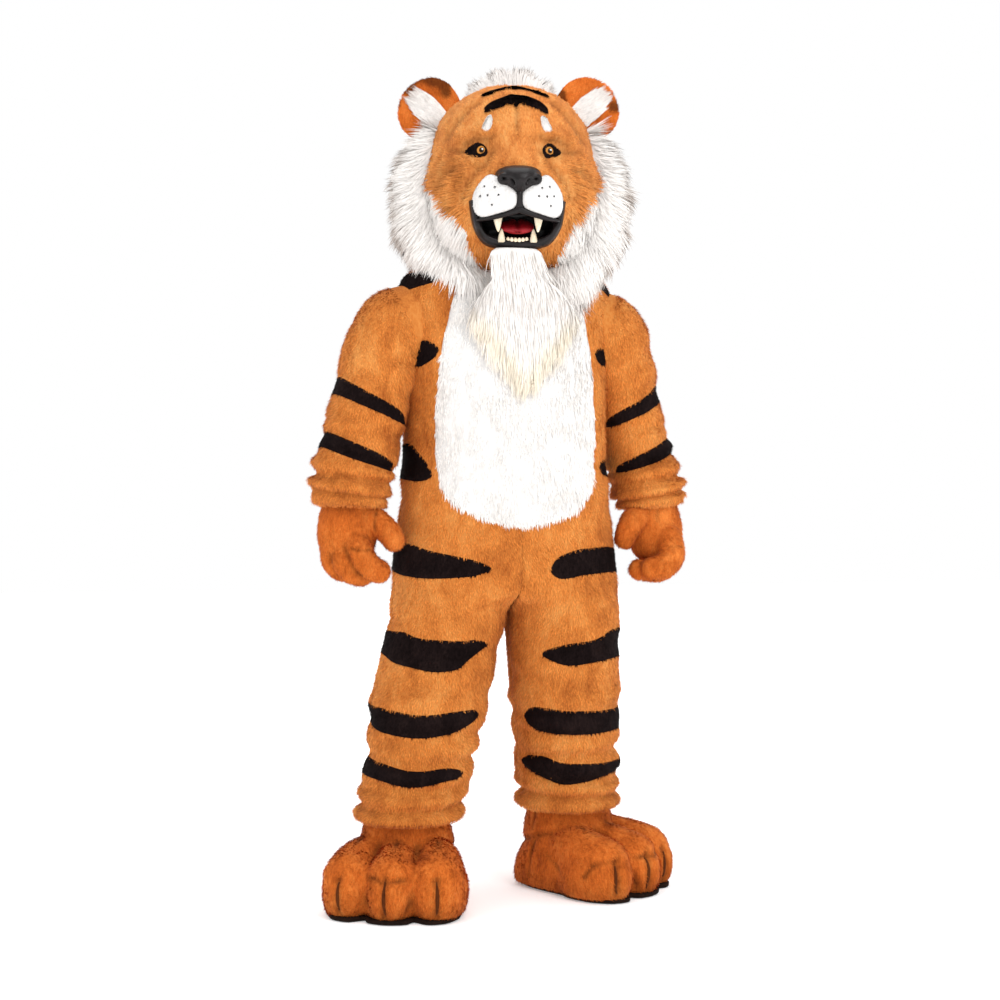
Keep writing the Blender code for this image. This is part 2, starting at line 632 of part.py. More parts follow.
def on_foot(side, point):
    """A point of the foot's own frame (across, along, up) in the costume's."""
    x, y, turn = STAND[side]
    turn = math.radians(turn) * side
    across, along, up = point[0] * side, point[1] - ANKLE_ALONG, point[2]
    return np.array([x + across * math.cos(turn) + along * math.sin(turn),
                     y + across * math.sin(turn) - along * math.cos(turn), up + FLOOR])


for side in (RIGHT, LEFT):
    word = names[side]

    def foot_ring(along, wide, high, grow=0.0, base=SOLE + SEAM):
        """A section across the foot: rounded top, flat bottom."""
        ring = []
        for k in range(12):
            turn = 2 * math.pi * k / 12
            x = (wide + grow) * math.copysign(abs(math.cos(turn)) ** 0.75, math.cos(turn))
            z = base + (high + grow - base) * (0.5 + 0.5 * math.copysign(abs(math.sin(turn)) ** 0.75, math.sin(turn)))
            ring.append(on_foot(side, (x, along, z)))
        return ring

    paw = loft("paw_" + word, [foot_ring(r[0], r[1], r[2], base=0.010) for r in FOOT.rows], "plush_rust")
    toes = (("inner_toe", -0.098, 0.248, 0.060, 0.096, 0.132),
            ("middle_toe", 0.000, 0.262, 0.063, 0.100, 0.142),
            ("outer_toe", 0.098, 0.244, 0.062, 0.096, 0.132))
    for toe, across, along, wide, long_, high in toes:
        low = 0.004 + 0.002 * toes.index((toe, across, along, wide, long_, high))
        rings = [[on_foot(side, (across + wide * size * math.cos(2 * math.pi * k / 12),
                                 along + long_ * size * math.sin(2 * math.pi * k / 12), low + (high - low) * share))
                  for k in range(12)]
                 for share, size in ((0.0, 0.96), (0.35, 1.0), (0.62, 0.93), (0.84, 0.70), (0.97, 0.34))]
        piece = loft("%s_%s" % (toe, word), rings)
        boolean(paw, piece, "UNION")
    # the ankle goes up inside the leg's hem
    hem_x, hem_y = STAND[side][:2]

    def ankle_ring(radius, z):
        return [np.array([hem_x + radius * math.cos(2 * math.pi * k / 12),
                          hem_y + radius * math.sin(2 * math.pi * k / 12), z + FLOOR]) for k in range(12)]

    ankle = loft("ankle_" + word, [ankle_ring(0.112, 0.09), ankle_ring(0.106, 0.140), ankle_ring(0.099, 0.176), ankle_ring(0.096, 0.205)])
    boolean(paw, ankle, "UNION")
    shoe = loft("shoe_" + word, [foot_ring(a, w, h, base=SOLE + 0.012) for a, w, h in (
        (0.028, 0.050, 0.070), (0.060, 0.072, 0.105), (0.130, 0.085, 0.130), (0.220, 0.085, 0.095), (0.275, 0.060, 0.070))])
    boolean(paw, shoe)
    x, y, turn = STAND[side]
    boolean(paw, box("ground_" + word, (x - 0.5, y - 0.5, FLOOR - 0.1), (x + 0.5, y + 0.5, FLOOR + SOLE + SEAM)))
    boolean(paw, loft("ankle_hollow_" + word, [ankle_ring(0.078, 0.075), ankle_ring(0.089, 0.14), ankle_ring(0.088, 0.23)]))
    # the sole follows the outline of the cover, a little inside it
    outline = []
    for across, along in ((0.0, 0.002), (0.052, 0.008), (0.086, 0.045), (0.108, 0.100), (0.126, 0.170),
                          (0.142, 0.200), (0.150, 0.260), (0.128, 0.318), (0.072, 0.318), (0.044, 0.340),
                          (0.0, 0.352), (-0.044, 0.340), (-0.072, 0.320), (-0.128, 0.322), (-0.150, 0.264),
                          (-0.142, 0.200), (-0.126, 0.170), (-0.108, 0.100), (-0.086, 0.045), (-0.052, 0.008)):
        outline.append((across, along))
    sole = loft("sole_" + word, [[on_foot(side, (a, b, z)) for a, b in outline] for z in (0.0, SOLE)], "sole_brown")

# ------------------------------------------------------------------ head
HEAD_X, HEAD_Y, HEAD_TURN = 0.010, -0.020, -10.0


def on_head(point):
    """A point of the head's own frame in the costume's: the head is turned on the shoulders."""
    turn = math.radians(HEAD_TURN)
    x, y, z = point
    return np.array([HEAD_X + x * math.cos(turn) - y * math.sin(turn),
                     HEAD_Y + x * math.sin(turn) + y * math.cos(turn), z + FLOOR])


def put_on_head(obj):
    """Move a piece made in the head's own frame onto the shoulders."""
    obj.data.transform(Matrix.Translation((HEAD_X, HEAD_Y, FLOOR)) @ Matrix.Rotation(math.radians(HEAD_TURN), 4, "Z"))
    return obj


HEAD = Table("z wide front back y",
             (1.455, 0.118, 0.110, 0.110, 0.010),
             (1.490, 0.158, 0.165, 0.140, 0.005),
             (1.540, 0.186, 0.200, 0.165, 0.000),
             (1.600, 0.201, 0.212, 0.185, 0.000),
             (1.660, 0.203, 0.208, 0.195, 0.000),
             (1.720, 0.197, 0.200, 0.197, 0.000),
             (1.780, 0.184, 0.188, 0.188, 0.000),
             (1.830, 0.160, 0.164, 0.165, 0.000),
             (1.868, 0.122, 0.125, 0.128, 0.000),
             (1.892, 0.072, 0.075, 0.077, 0.000),
             (1.900, 0.020, 0.022, 0.022, 0.000))
HEAD_ROWS = [float(z) for z in HEAD.rows[:, 0]]


def head(c, z):
    """Columns 0..1 round the head: 0 at the back, 0.5 at the middle of the face."""
    turn = 2 * math.pi * c
    deep = HEAD("back" if math.cos(turn) > 0 else "front", z)
    return on_head((-HEAD("wide", z) * math.sin(turn), HEAD("y", z) + deep * math.cos(turn), z))


SKULL = outward(Form(head, HEAD_ROWS, [k / 20 for k in range(21)]), None)
SKULL.away[-1] = (0, 0, 1)
SKULL.away[0, :, 2] = 0.0
SKULL.away /= np.linalg.norm(SKULL.away, axis=2, keepdims=True)
WALL = 0.010   # plush over foam

skull = loft("head_shell", rings_of(SKULL), "plush_orange", hollow=rings_of(SKULL, -WALL),
             closed_start=False, closed_end=True)


def head_cutter(name, height):
    rings = rings_of(SKULL, height)
    below = [p + np.array([0, 0, -0.03]) for p in rings[0]]
    return loft(name, [below] + rings)


face_0 = head_cutter("head_out", 0.0004)
face_1 = head_cutter("head_out_rim", 0.0034)

# the mouth: a U-shaped opening with a black lip round a lined hollow
MOUTH = Table("turn x z",
              (0, 0.100, 1.595), (30, 0.090, 1.540), (60, 0.062, 1.508), (90, 0.000, 1.497),
              (120, -0.062, 1.508), (150, -0.090, 1.540), (180, -0.100, 1.595),
              (212, -0.074, 1.601), (240, -0.040, 1.598), (270, 0.000, 1.594), (300, 0.040, 1.598), (328, 0.074, 1.601))
MOUTH_X, MOUTH_Z = 0.0, 1.560
MOUTH_Y = 0.212


def mouth_ring(scale, y, lift=0.0):
    """The lip's outline about its middle, scaled, and bent back at the sides with the face."""
    ring = []
    for turn, x, z in MOUTH.rows:
        x, z = (x - MOUTH_X) * scale, (z - MOUTH_Z) * scale
        ring.append(on_head((MOUTH_X + x, -(MOUTH_Y + y) + 1.9 * x * x + lift * (z < 0) * 0.3 + 0.9 * max(0.0, -z - 0.02) , MOUTH_Z + z)))
    return ring


mouth = loft("mouth", [mouth_ring(0.20, -0.056), mouth_ring(0.60, -0.056), mouth_ring(0.84, -0.042), mouth_ring(0.97, -0.030),
                       mouth_ring(1.02, 0.004), mouth_ring(0.99, 0.016), mouth_ring(0.92, 0.020), mouth_ring(0.85, 0.014),
                       mouth_ring(0.82, -0.004), mouth_ring(0.76, -0.030), mouth_ring(0.55, -0.046), mouth_ring(0.25, -0.050)],
             "satin_black")
opening = loft("mouth_opening", [mouth_ring(1.035, 0.06), mouth_ring(1.035, 0.0), mouth_ring(1.0, -0.034),
                                 mouth_ring(0.87, -0.048), mouth_ring(0.63, -0.062)])
boolean(skull, opening)


def mirrored(make):
    for side in (RIGHT, LEFT):
        make(side, names[side])


MUZZLE = ((0.0505, -0.222, 1.613), (0.0492, 0.050, 0.046))
NOSE = ((0.0, -0.252, 1.647), (0.048, 0.036, 0.028))


def muzzle(side, word):
    (x, y, z), radii = MUZZLE
    pad = put_on_head(blob("muzzle_" + word, (side * x, y, z), radii, "plush_white", cuts=(14, 8)))
    boolean(pad, face_0)
    boolean(pad, mouth_block)
    cut = put_on_head(blob("muzzle_out_" + word, (side * x, y, z), radii, None, grow=0.0006, cuts=(14, 8)))
    cut.hide_render = True


mouth_block = loft("mouth_block", [mouth_ring(0.95, -0.04), mouth_ring(1.03, 0.002), mouth_ring(1.0, 0.0175), mouth_ring(0.92, 0.0215),
                                   mouth_ring(0.80, 0.010), mouth_ring(0.5, -0.030)])
mirrored(muzzle)

nose = put_on_head(blob("nose", (0, NOSE[0][1], NOSE[0][2]), NOSE[1], "satin_black", cuts=(12, 8)))
bridge = put_on_head(blob("nose_tip", (0, -0.262, 1.628), (0.022, 0.024, 0.026), None, cuts=(8, 6)))
boolean(nose, bridge, "UNION")
boolean(nose, face_0)
for word in names.values():
    boolean(nose, bpy.data.objects["muzzle_out_" + word])

tongue = put_on_head(blob("tongue", (0, -0.1835, 1.541), (0.036, 0.016, 0.011), "felt_red", turn=(14, 0, 0), cuts=(12, 6)))


def tooth(name, x, y, z, radius, height, up):
    """A cone with a rounded root; up is 1 for a tooth that points up."""
    rings = []
    for share, size in ((0.0, 0.7), (0.12, 1.0), (0.5, 0.72), (0.85, 0.34), (1.0, 0.10)):
        rings.append([on_head((x + radius * size * math.cos(2 * math.pi * k / 8),
                               y + radius * size * math.sin(2 * math.pi * k / 8),
                               z + up * share * height)) for k in range(8)])
    return loft(name, rings, "felt_cream")


def upper_fang(side, word):
    fang = tooth("fang_upper_" + word, side * 0.046, -0.212, 1.584, 0.0105, 0.050, -1)
    boolean(fang, bpy.data.objects["muzzle_out_" + word])


mirrored(upper_fang)
mirrored(lambda side, word: tooth("fang_lower_" + word, side * 0.036, -0.2080, 1.519, 0.0075, 0.032, 1))
incisors = put_on_head(blob("incisors", (0, -0.208, 1.528), (0.022, 0.005, 0.007), "felt_cream", cuts=(10, 6)))


# what lies flat on the face: bands of (column of 20, z below, z above); 10 is the middle
def face_band(rows):
    return trapezoids([(c, SKULL.row_of(low), SKULL.row_of(high)) for c, low, high in rows])


mirrored(lambda side, word: laid("eye_rim_" + word, SKULL, face_band(
    [(10 + side * a, low, high) for a, low, high in
     ((0.78, 1.716, 1.728), (1.10, 1.718, 1.744), (1.45, 1.722, 1.752), (1.90, 1.718, 1.742), (2.15, 1.722, 1.730))][::side]),
    SEAM, 0.0030, "satin_black"))


def eye(side, word):
    ball = put_on_head(blob("eye_" + word, (side * 0.0760, -0.1800, 1.731), (0.0125, 0.011, 0.0115), "eye_amber", cuts=(10, 6)))
    boolean(ball, face_1)


mirrored(eye)
mirrored(lambda side, word: laid("brow_" + word, SKULL, face_band(
    [(10 + side * a, low, high) for a, low, high in
     ((0.85, 1.770, 1.800), (1.10, 1.768, 1.812), (1.38, 1.775, 1.815))][::side]),
    SEAM, 0.006, "fur_white"))
laid("head_stripe_front", SKULL, face_band(
    [(8.05, 1.817, 1.822), (8.6, 1.822, 1.838), (9.3, 1.828, 1.852), (10.0, 1.834, 1.860), (10.7, 1.828, 1.852), (11.4, 1.822, 1.838), (11.95, 1.817, 1.822)]),
    SEAM, 0.005, "plush_dark")
laid("head_stripe_back", SKULL, face_band(
    [(7.6, 1.846, 1.850), (8.8, 1.866, 1.874), (10.0, 1.872, 1.882), (11.2, 1.866, 1.874), (12.4, 1.846, 1.850)]),
    SEAM, 0.005, "plush_dark")


# an ear: a cupped leaf; along 0..1 from its root to its tip
EAR = Table("along wide thick cup",
            (0.0, 0.052, 0.012, 0.014), (0.25, 0.066, 0.013, 0.018), (0.5, 0.070, 0.013, 0.020),
            (0.75, 0.060, 0.012, 0.016), (0.92, 0.038, 0.010, 0.008), (1.0, 0.014, 0.006, 0.002))
EAR_LONG = 0.118


def ear(side):
    def shape(c, along):
        turn = 2 * math.pi * c
        wide = EAR("wide", along) * math.cos(turn)
        thick = EAR("thick", along) * math.sin(turn) * (1 - 0.3 * abs(math.cos(turn)))
        cup = EAR("cup", along) * (1 - math.cos(turn) ** 2)
        lean = math.radians(47)
        out = 0.150 + (along * EAR_LONG) * math.sin(lean) - wide * math.cos(lean) * 1.0
        up = 1.822 + (along * EAR_LONG) * math.cos(lean) + wide * math.sin(lean)
        y = 0.020 + thick + cup - 0.030 * along
        return on_head((side * out, y, up))
    return shape


def make_ear(side, word):
    form = outward(Form(ear(side), [0.0, 0.25, 0.5, 0.75, 0.92, 1.0], [k / 12 for k in range(13)]), None)
    piece = loft("ear_" + word, rings_of(form), "plush_rust")
    boolean(piece, face_0)
    lining = laid("ear_lining_" + word, form,
                  [[(7.0, 0.25), (11.0, 0.25), (11.0, 2.0), (7.0, 2.0)], [(7.0, 2.0), (11.0, 2.0), (10.6, 3.3), (7.4, 3.3)]],
                  SEAM, 0.010, "fur_white")
    boolean(lining, bpy.data.objects["head_out_rim"])


mirrored(make_ear)

# ------------------------------------------------------------------ fur round the face
# the ruff: down the cheek from under the ear to below the chin; reach out from the head
RUFF = Table("along x z reach deep y",
             (0.00, 0.165, 1.790, 0.026, 0.040, 0.000),
             (0.15, 0.196, 1.740, 0.050, 0.062, -0.004),
             (0.32, 0.214, 1.665, 0.068, 0.076, -0.010),
             (0.50, 0.205, 1.580, 0.078, 0.084, -0.018),
             (0.68, 0.165, 1.495, 0.074, 0.086, -0.040),
             (0.85, 0.105, 1.440, 0.062, 0.074, -0.070),
             (1.00, 0.036, 1.410, 0.054, 0.058, -0.090))

# the chest and shoulders as the fur meets them
trunk_rings = []
for i, z in enumerate(SUIT_ROWS[:11]):
    ring = [SUIT[RIGHT].points[i, j] + SUIT[RIGHT].away[i, j] * 0.0058 for j in range(0, 2 * HALF + 1)]
    ring += [SUIT[LEFT].points[i, j] + SUIT[LEFT].away[i, j] * 0.0058 for j in range(2 * HALF - 1, 0, -1)]
    trunk_rings.append(ring)
trunk = loft("trunk_out", trunk_rings)
boolean(skull, trunk)


def ruff(side, word):
    rings = []
    for along, x, z, reach, deep, y in RUFF.rows:
        k = list(RUFF.rows[:, 0]).index(along)
        before, after = RUFF.rows[max(0, k - 1)], RUFF.rows[min(len(RUFF.rows) - 1, k + 1)]
        run = np.array([after[1] - before[1], after[2] - before[2]])
        run /= np.linalg.norm(run)
        out = np.array([-run[1], run[0]]) if -run[1] > 0 else np.array([-run[1], run[0]])
        ring = []
        for j in range(12):
            turn = 2 * math.pi * j / 12
            off = reach * math.cos(turn)
            ring.append(on_head((side * (x + out[0] * off), y + deep * math.sin(turn), z + out[1] * off)))
        rings.append(ring)
    piece = loft("ruff_" + word, rings, "fur_white")
    boolean(piece, face_0)
    boolean(piece, trunk)
    boolean(piece, bpy.data.objects["armhole_" + word])
    for place in ("shoulder",):
        grown = laid("stripe_out_" + word, SUIT[side], band(SUIT[side], STRIPES[place][side]), -0.002, 0.0040, None)
        boolean(piece, grown)
    boolean(piece, bpy.data.objects["ear_block_" + word])


def ear_block(side, word):
    form = outward(Form(ear(side), [0.0, 0.25, 0.5, 0.75, 0.92, 1.0], [k / 12 for k in range(13)]), None)
    rings = rings_of(form, 0.011)
    root = rings[0] + (rings[0] - np.mean(rings[1], axis=0)) * 0.15
    loft("ear_block_" + word, [list(root)] + rings)


mirrored(ear_block)
mirrored(ruff)

# the beard hangs from the chin over the chest
BEARD = Table("z wide deep y",
              (1.485, 0.034, 0.020, -0.208), (1.440, 0.060, 0.028, -0.200), (1.400, 0.105, 0.034, -0.186),
              (1.355, 0.140, 0.034, -0.168), (1.300, 0.118, 0.026, -0.166), (1.240, 0.070, 0.020, -0.168),
              (1.180, 0.016, 0.010, -0.166))
beard_rings = []
for z, wide, deep, y in BEARD.rows:
    beard_rings.append([np.array([0.02 * (z - 1.2) / 0.3 * 0 + wide * math.cos(2 * math.pi * k / 12),
                                  y + deep * math.sin(2 * math.pi * k / 12), z + FLOOR]) for k in range(12)])
beard = loft("beard", beard_rings, "fur_white")
for other in (face_0, trunk):
    boolean(beard, other)

# the crest stands on the back of the crown
crest = put_on_head(blob("crest", (0.0, 0.035, 1.860), (0.098, 0.055, 0.085), "fur_white", cuts=(14, 8)))
boolean(crest, head_cutter("head_out_stripes", 0.0058))

# the ruffs and the beard keep clear of one another and of the mouth
for word in names.values():
    piece = bpy.data.objects["ruff_" + word]
    boolean(piece, loft("beard_out_" + word, [[p + (p - np.mean(r, axis=0)) * 0.04 for p in r] for r in
                                    [[q + np.array([0, 0, 0.03]) for q in beard_rings[-1]]] * 0 + beard_rings]))
    boolean(piece, mouth_block)
    side = RIGHT if word == "right" else LEFT
    boolean(piece, box("middle_" + word, (-0.5 if side == LEFT else -0.0005, -0.5, -0.5), (0.0005 if side == LEFT else 0.5, 0.5, 0.5)))
boolean(beard, mouth_block)

# ------------------------------------------------------------------ finish
for obj in list(COSTUME.objects):
    if obj.modifiers:
        settle(obj)
for obj in list(COSTUME.objects):
    clean = bmesh.new()
    clean.from_mesh(obj.data)
    bmesh.ops.remove_doubles(clean, verts=clean.verts[:], dist=2e-5)
    bmesh.ops.dissolve_degenerate(clean, dist=1e-5, edges=clean.edges[:])
    bmesh.ops.triangulate(clean, faces=clean.faces[:])
    clean.to_mesh(obj.data)
    clean.free()
    for face in obj.data.polygons:
        face.use_smooth = True
        face.material_index = 0
    obj.data.materials.clear()
    obj.data.materials.append(material(obj.name, SLOT_OF[obj.name]))
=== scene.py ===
"""Tiger mascot costume: the looks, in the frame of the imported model.

Metres, +Z up. x points to the wearer's left, the front faces -Y, the origin is on the shoulder
line. Heights in the tables are heights above the floor, which lies FLOOR from the origin.
"""
import json
import math
import time

import bmesh
import bpy
import numpy as np
from mathutils import Matrix, Vector

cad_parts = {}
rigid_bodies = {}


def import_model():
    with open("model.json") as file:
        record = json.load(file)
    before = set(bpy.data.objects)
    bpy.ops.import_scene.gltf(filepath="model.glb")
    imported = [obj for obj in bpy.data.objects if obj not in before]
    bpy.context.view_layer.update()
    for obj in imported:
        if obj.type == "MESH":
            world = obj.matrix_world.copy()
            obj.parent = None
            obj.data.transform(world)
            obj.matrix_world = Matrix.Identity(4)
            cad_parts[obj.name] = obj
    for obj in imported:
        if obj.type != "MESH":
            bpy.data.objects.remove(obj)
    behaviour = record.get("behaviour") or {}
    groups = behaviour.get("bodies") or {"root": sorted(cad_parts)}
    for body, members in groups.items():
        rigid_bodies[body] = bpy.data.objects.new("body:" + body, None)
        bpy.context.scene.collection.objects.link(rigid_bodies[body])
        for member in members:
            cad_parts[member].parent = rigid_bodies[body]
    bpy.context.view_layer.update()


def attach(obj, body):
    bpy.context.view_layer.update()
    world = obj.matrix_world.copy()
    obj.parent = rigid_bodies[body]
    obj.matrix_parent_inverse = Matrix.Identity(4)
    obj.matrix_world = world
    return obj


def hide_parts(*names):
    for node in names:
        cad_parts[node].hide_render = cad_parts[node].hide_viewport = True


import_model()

START = time.time()
FLOOR = -1.46
RIGHT, LEFT = -1, 1
WORD = {RIGHT: "right", LEFT: "left"}
TAU = 2 * math.pi
scene = bpy.context.scene
COSTUME = bpy.data.collections.new("costume_visual")
scene.collection.children.link(COSTUME)
PLENTY = 1.0


def note(text):
    print("%6.1f s  %s" % (time.time() - START, text), flush=True)


# ------------------------------------------------------------------ small maths
def unit(v):
    v = np.asarray(v, float)
    return v / np.maximum(np.linalg.norm(v, axis=-1, keepdims=True), 1e-12)


def smooth(a, b, x):
    t = np.clip((np.asarray(x, float) - a) / (b - a), 0, 1)
    return t * t * (3 - 2 * t)


class Table:
    """Rows with named columns; a column is read at any values of the first one."""

    def __init__(self, names, *rows):
        self.names = names.split()
        self.rows = np.array(sorted(rows), float)
        self.slopes = {}

    def __call__(self, name, at):
        x = self.rows[:, 0]
        y = self.rows[:, self.names.index(name)]
        h = np.diff(x)
        if name not in self.slopes:
            d = np.diff(y) / h
            slope = np.zeros(len(x))
            slope[0], slope[-1] = d[0], d[-1]
            for k in range(1, len(x) - 1):
                if d[k - 1] * d[k] > 0:
                    slope[k] = 2 * d[k - 1] * d[k] / (d[k - 1] + d[k])
            self.slopes[name] = slope
        m = self.slopes[name]
        at = np.clip(np.asarray(at, float), x[0], x[-1])
        k = np.clip(np.searchsorted(x, at) - 1, 0, len(x) - 2)
        t = (at - x[k]) / h[k]
        return ((2 * t**3 - 3 * t**2 + 1) * y[k] + (t**3 - 2 * t**2 + t) * h[k] * m[k]
                + (3 * t**2 - 2 * t**3) * y[k + 1] + (t**3 - t**2) * h[k] * m[k + 1])


def lattice(i, j, k, seed):
    """A repeatable value from 0 to 1 for each whole-number point."""
    n = (i.astype(np.int64) * 73856093) ^ (j.astype(np.int64) * 19349663) ^ (k.astype(np.int64) * 83492791) ^ (seed * 2654435)
    n = (n ^ (n >> 13)) * 1274126177 & 0xFFFFFFFF
    n = (n ^ (n >> 16)) & 0xFFFF
    return n / 65535.0


def noise(p, scale, seed=0):
    """Soft value noise from -1 to 1 at points p, with lumps of about scale metres."""
    q = np.asarray(p, float) / scale
    f = np.floor(q)
    t = q - f
    t = t * t * (3 - 2 * t)
    f = f.astype(np.int64)
    out = 0
    for a in (0, 1):
        for b in (0, 1):
            for c in (0, 1):
                w = ((t[..., 0] if a else 1 - t[..., 0]) * (t[..., 1] if b else 1 - t[..., 1])
                     * (t[..., 2] if c else 1 - t[..., 2]))
                out = out + w * lattice(f[..., 0] + a, f[..., 1] + b, f[..., 2] + c, seed)
    return 2 * out - 1


# ------------------------------------------------------------------ materials
def new_material(name):
    made = bpy.data.materials.new(name)
    made.use_nodes = True
    tree = made.node_tree
    return made, tree, tree.nodes["Principled BSDF"]


def ramp(tree, source, stops):
    node = tree.nodes.new("ShaderNodeValToRGB")
    while len(node.color_ramp.elements) > 1:
        node.color_ramp.elements.remove(node.color_ramp.elements[-1])
    for k, (place, colour) in enumerate(stops):
        e = node.color_ramp.elements[0] if k == 0 else node.color_ramp.elements.new(place)
        e.position = place
        e.color = (*colour, 1)
    tree.links.new(source, node.inputs["Fac"])
    return node.outputs["Color"]


def noise_node(tree, coords, scale, detail=3.0, rough=0.55, stretch=None, distortion=0.0):
    if stretch:
        m = tree.nodes.new("ShaderNodeMapping")
        m.inputs["Scale"].default_value = stretch
        tree.links.new(coords, m.inputs["Vector"])
        coords = m.outputs["Vector"]
    n = tree.nodes.new("ShaderNodeTexNoise")
    n.inputs["Scale"].default_value = scale
    n.inputs["Detail"].default_value = detail
    n.inputs["Roughness"].default_value = rough
    n.inputs["Distortion"].default_value = distortion
    tree.links.new(coords, n.inputs["Vector"])
    return n.outputs["Fac"]


def maths(tree, kind, a, b=None, c=None):
    n = tree.nodes.new("ShaderNodeMath")
    n.operation = kind
    for k, v in enumerate((a, b, c)):
        if v is None:
            continue
        if isinstance(v, (int, float)):
            n.inputs[k].default_value = v
        else:
            tree.links.new(v, n.inputs[k])
    return n.outputs[0]


def mix(tree, kind, fac, a, b):
    n = tree.nodes.new("ShaderNodeMix")
    n.data_type = "RGBA"
    n.blend_type = kind
    for k, v in (("Factor", fac), ("A", a), ("B", b)):
        s = [i for i in n.inputs if i.name == k and (i.type == "RGBA" or k == "Factor" and i.type == "VALUE")][0]
        if isinstance(v, (int, float)):
            s.default_value = v
        elif isinstance(v, tuple):
            s.default_value = (*v, 1)
        else:
            tree.links.new(v, s)
    return [o for o in n.outputs if o.type == "RGBA"][0]


def pile_material(name, dark, middle, light, rough=0.85, sheen=0.25, bump=0.35, fine=260.0, lumps=22.0, spec=0.2, glow=0.0):
    """Cloth with a pile: patches where the nap lies differently, and a tint carried by the mesh."""
    made, tree, shader = new_material(name)
    coords = tree.nodes.new("ShaderNodeTexCoord").outputs["Object"]
    big = noise_node(tree, coords, 5.5, 3.0, 0.6)
    clumps = noise_node(tree, coords, lumps, 4.0, 0.62, stretch=(1.0, 1.0, 0.55), distortion=0.4)
    threads = noise_node(tree, coords, fine, 2.0, 0.6, stretch=(1.0, 1.0, 0.35))
    blend = maths(tree, "ADD", maths(tree, "MULTIPLY", big, 0.30), maths(tree, "MULTIPLY", clumps, 0.42))
    blend = maths(tree, "ADD", blend, maths(tree, "MULTIPLY", threads, 0.28))
    colour = ramp(tree, blend, ((0.34, dark), (0.50, middle), (0.66, light)))
    tint = tree.nodes.new("ShaderNodeAttribute")
    tint.attribute_name = "tint"
    colour = mix(tree, "MULTIPLY", 1.0, colour, tint.outputs["Color"])
    tree.links.new(colour, shader.inputs["Base Color"])
    shader.inputs["Roughness"].default_value = rough
    shader.inputs["Sheen Weight"].default_value = sheen
    shader.inputs["Sheen Roughness"].default_value = 0.5
    shader.inputs["Sheen Tint"].default_value = (*[min(1.0, 0.35 + 0.65 * c) for c in light], 1)
    shader.inputs["Specular IOR Level"].default_value = spec
    if glow:
        # painted light: the fur glows faintly in its light colour, standing in for light passing through the tips of
        # white fur, so they never read as grey
        shader.inputs["Emission Color"].default_value = (*light, 1)
        shader.inputs["Emission Strength"].default_value = glow
    if bump:
        b = tree.nodes.new("ShaderNodeBump")
        b.inputs["Strength"].default_value = bump
        b.inputs["Distance"].default_value = 0.004
        height = maths(tree, "ADD", maths(tree, "MULTIPLY", clumps, 0.7), maths(tree, "MULTIPLY", threads, 0.5))
        tree.links.new(height, b.inputs["Height"])
        tree.links.new(b.outputs["Normal"], shader.inputs["Normal"])
    made.diffuse_color = (*middle, 1)
    return made


def gloss_material(name, dark, light, rough=0.3, coat=0.0, grain=60.0, bump=0.05, spec=0.5):
    made, tree, shader = new_material(name)
    coords = tree.nodes.new("ShaderNodeTexCoord").outputs["Object"]
    n = noise_node(tree, coords, grain, 4.0, 0.6)
    tint = tree.nodes.new("ShaderNodeAttribute")
    tint.attribute_name = "tint"
    tree.links.new(mix(tree, "MULTIPLY", 1.0, ramp(tree, n, ((0.35, dark), (0.65, light))), tint.outputs["Color"]), shader.inputs["Base Color"])
    r = maths(tree, "MULTIPLY_ADD", n, 0.16, rough - 0.08)
    tree.links.new(r, shader.inputs["Roughness"])
    shader.inputs["Coat Weight"].default_value = coat
    shader.inputs["Specular IOR Level"].default_value = spec
    shader.inputs["Coat Roughness"].default_value = 0.12
    b = tree.nodes.new("ShaderNodeBump")
    b.inputs["Strength"].default_value = bump
    b.inputs["Distance"].default_value = 0.002
    tree.links.new(noise_node(tree, coords, grain * 5, 3.0, 0.6), b.inputs["Height"])
    tree.links.new(b.outputs["Normal"], shader.inputs["Normal"])
    made.diffuse_color = (*light, 1)
    return made


ORANGE = pile_material("plush_orange", (0.44, 0.105, 0.016), (0.78, 0.250, 0.046), (0.95, 0.40, 0.100), sheen=0.06, spec=0.1)
RUST = pile_material("plush_rust", (0.34, 0.062, 0.008), (0.65, 0.150, 0.020), (0.84, 0.26, 0.050), sheen=0.06, spec=0.1)
FACE = pile_material("plush_face", (0.42, 0.105, 0.020), (0.76, 0.265, 0.062), (0.95, 0.45, 0.140), lumps=34.0, sheen=0.06, spec=0.1)
DARK = pile_material("plush_dark", (0.003, 0.0015, 0.0014), (0.0075, 0.004, 0.004), (0.018, 0.010, 0.009), sheen=0.0, spec=0.04)
WHITE = pile_material("plush_white", (0.66, 0.635, 0.61), (0.76, 0.745, 0.73), (0.84, 0.83, 0.82), bump=0.20, sheen=0.05, spec=0.1)
FUR = pile_material("fur_white", (0.68, 0.640, 0.605), (0.79, 0.758, 0.728), (0.89, 0.865, 0.84), bump=0.0, rough=0.6, sheen=0.04, spec=0.1, glow=0.05)
BLACK = gloss_material("satin_black", (0.004, 0.003, 0.003), (0.011, 0.007, 0.0075), rough=0.36, coat=0.0, spec=0.22)
RED = gloss_material("felt_red", (0.14, 0.001, 0.003), (0.27, 0.004, 0.009), rough=0.45, coat=0.0, spec=0.25)
CREAM = gloss_material("felt_cream", (0.76, 0.62, 0.42), (0.92, 0.82, 0.64), rough=0.35, coat=0.10, grain=90.0)
EYE = gloss_material("eye_amber", (0.75, 0.75, 0.75), (1.0, 1.0, 1.0), rough=0.30, coat=0.0, grain=300.0, bump=0.0, spec=0.12)
SOLE = gloss_material("sole_brown", (0.007, 0.0032, 0.002), (0.018, 0.008, 0.005), rough=0.85, grain=120.0, bump=0.3, spec=0.08)


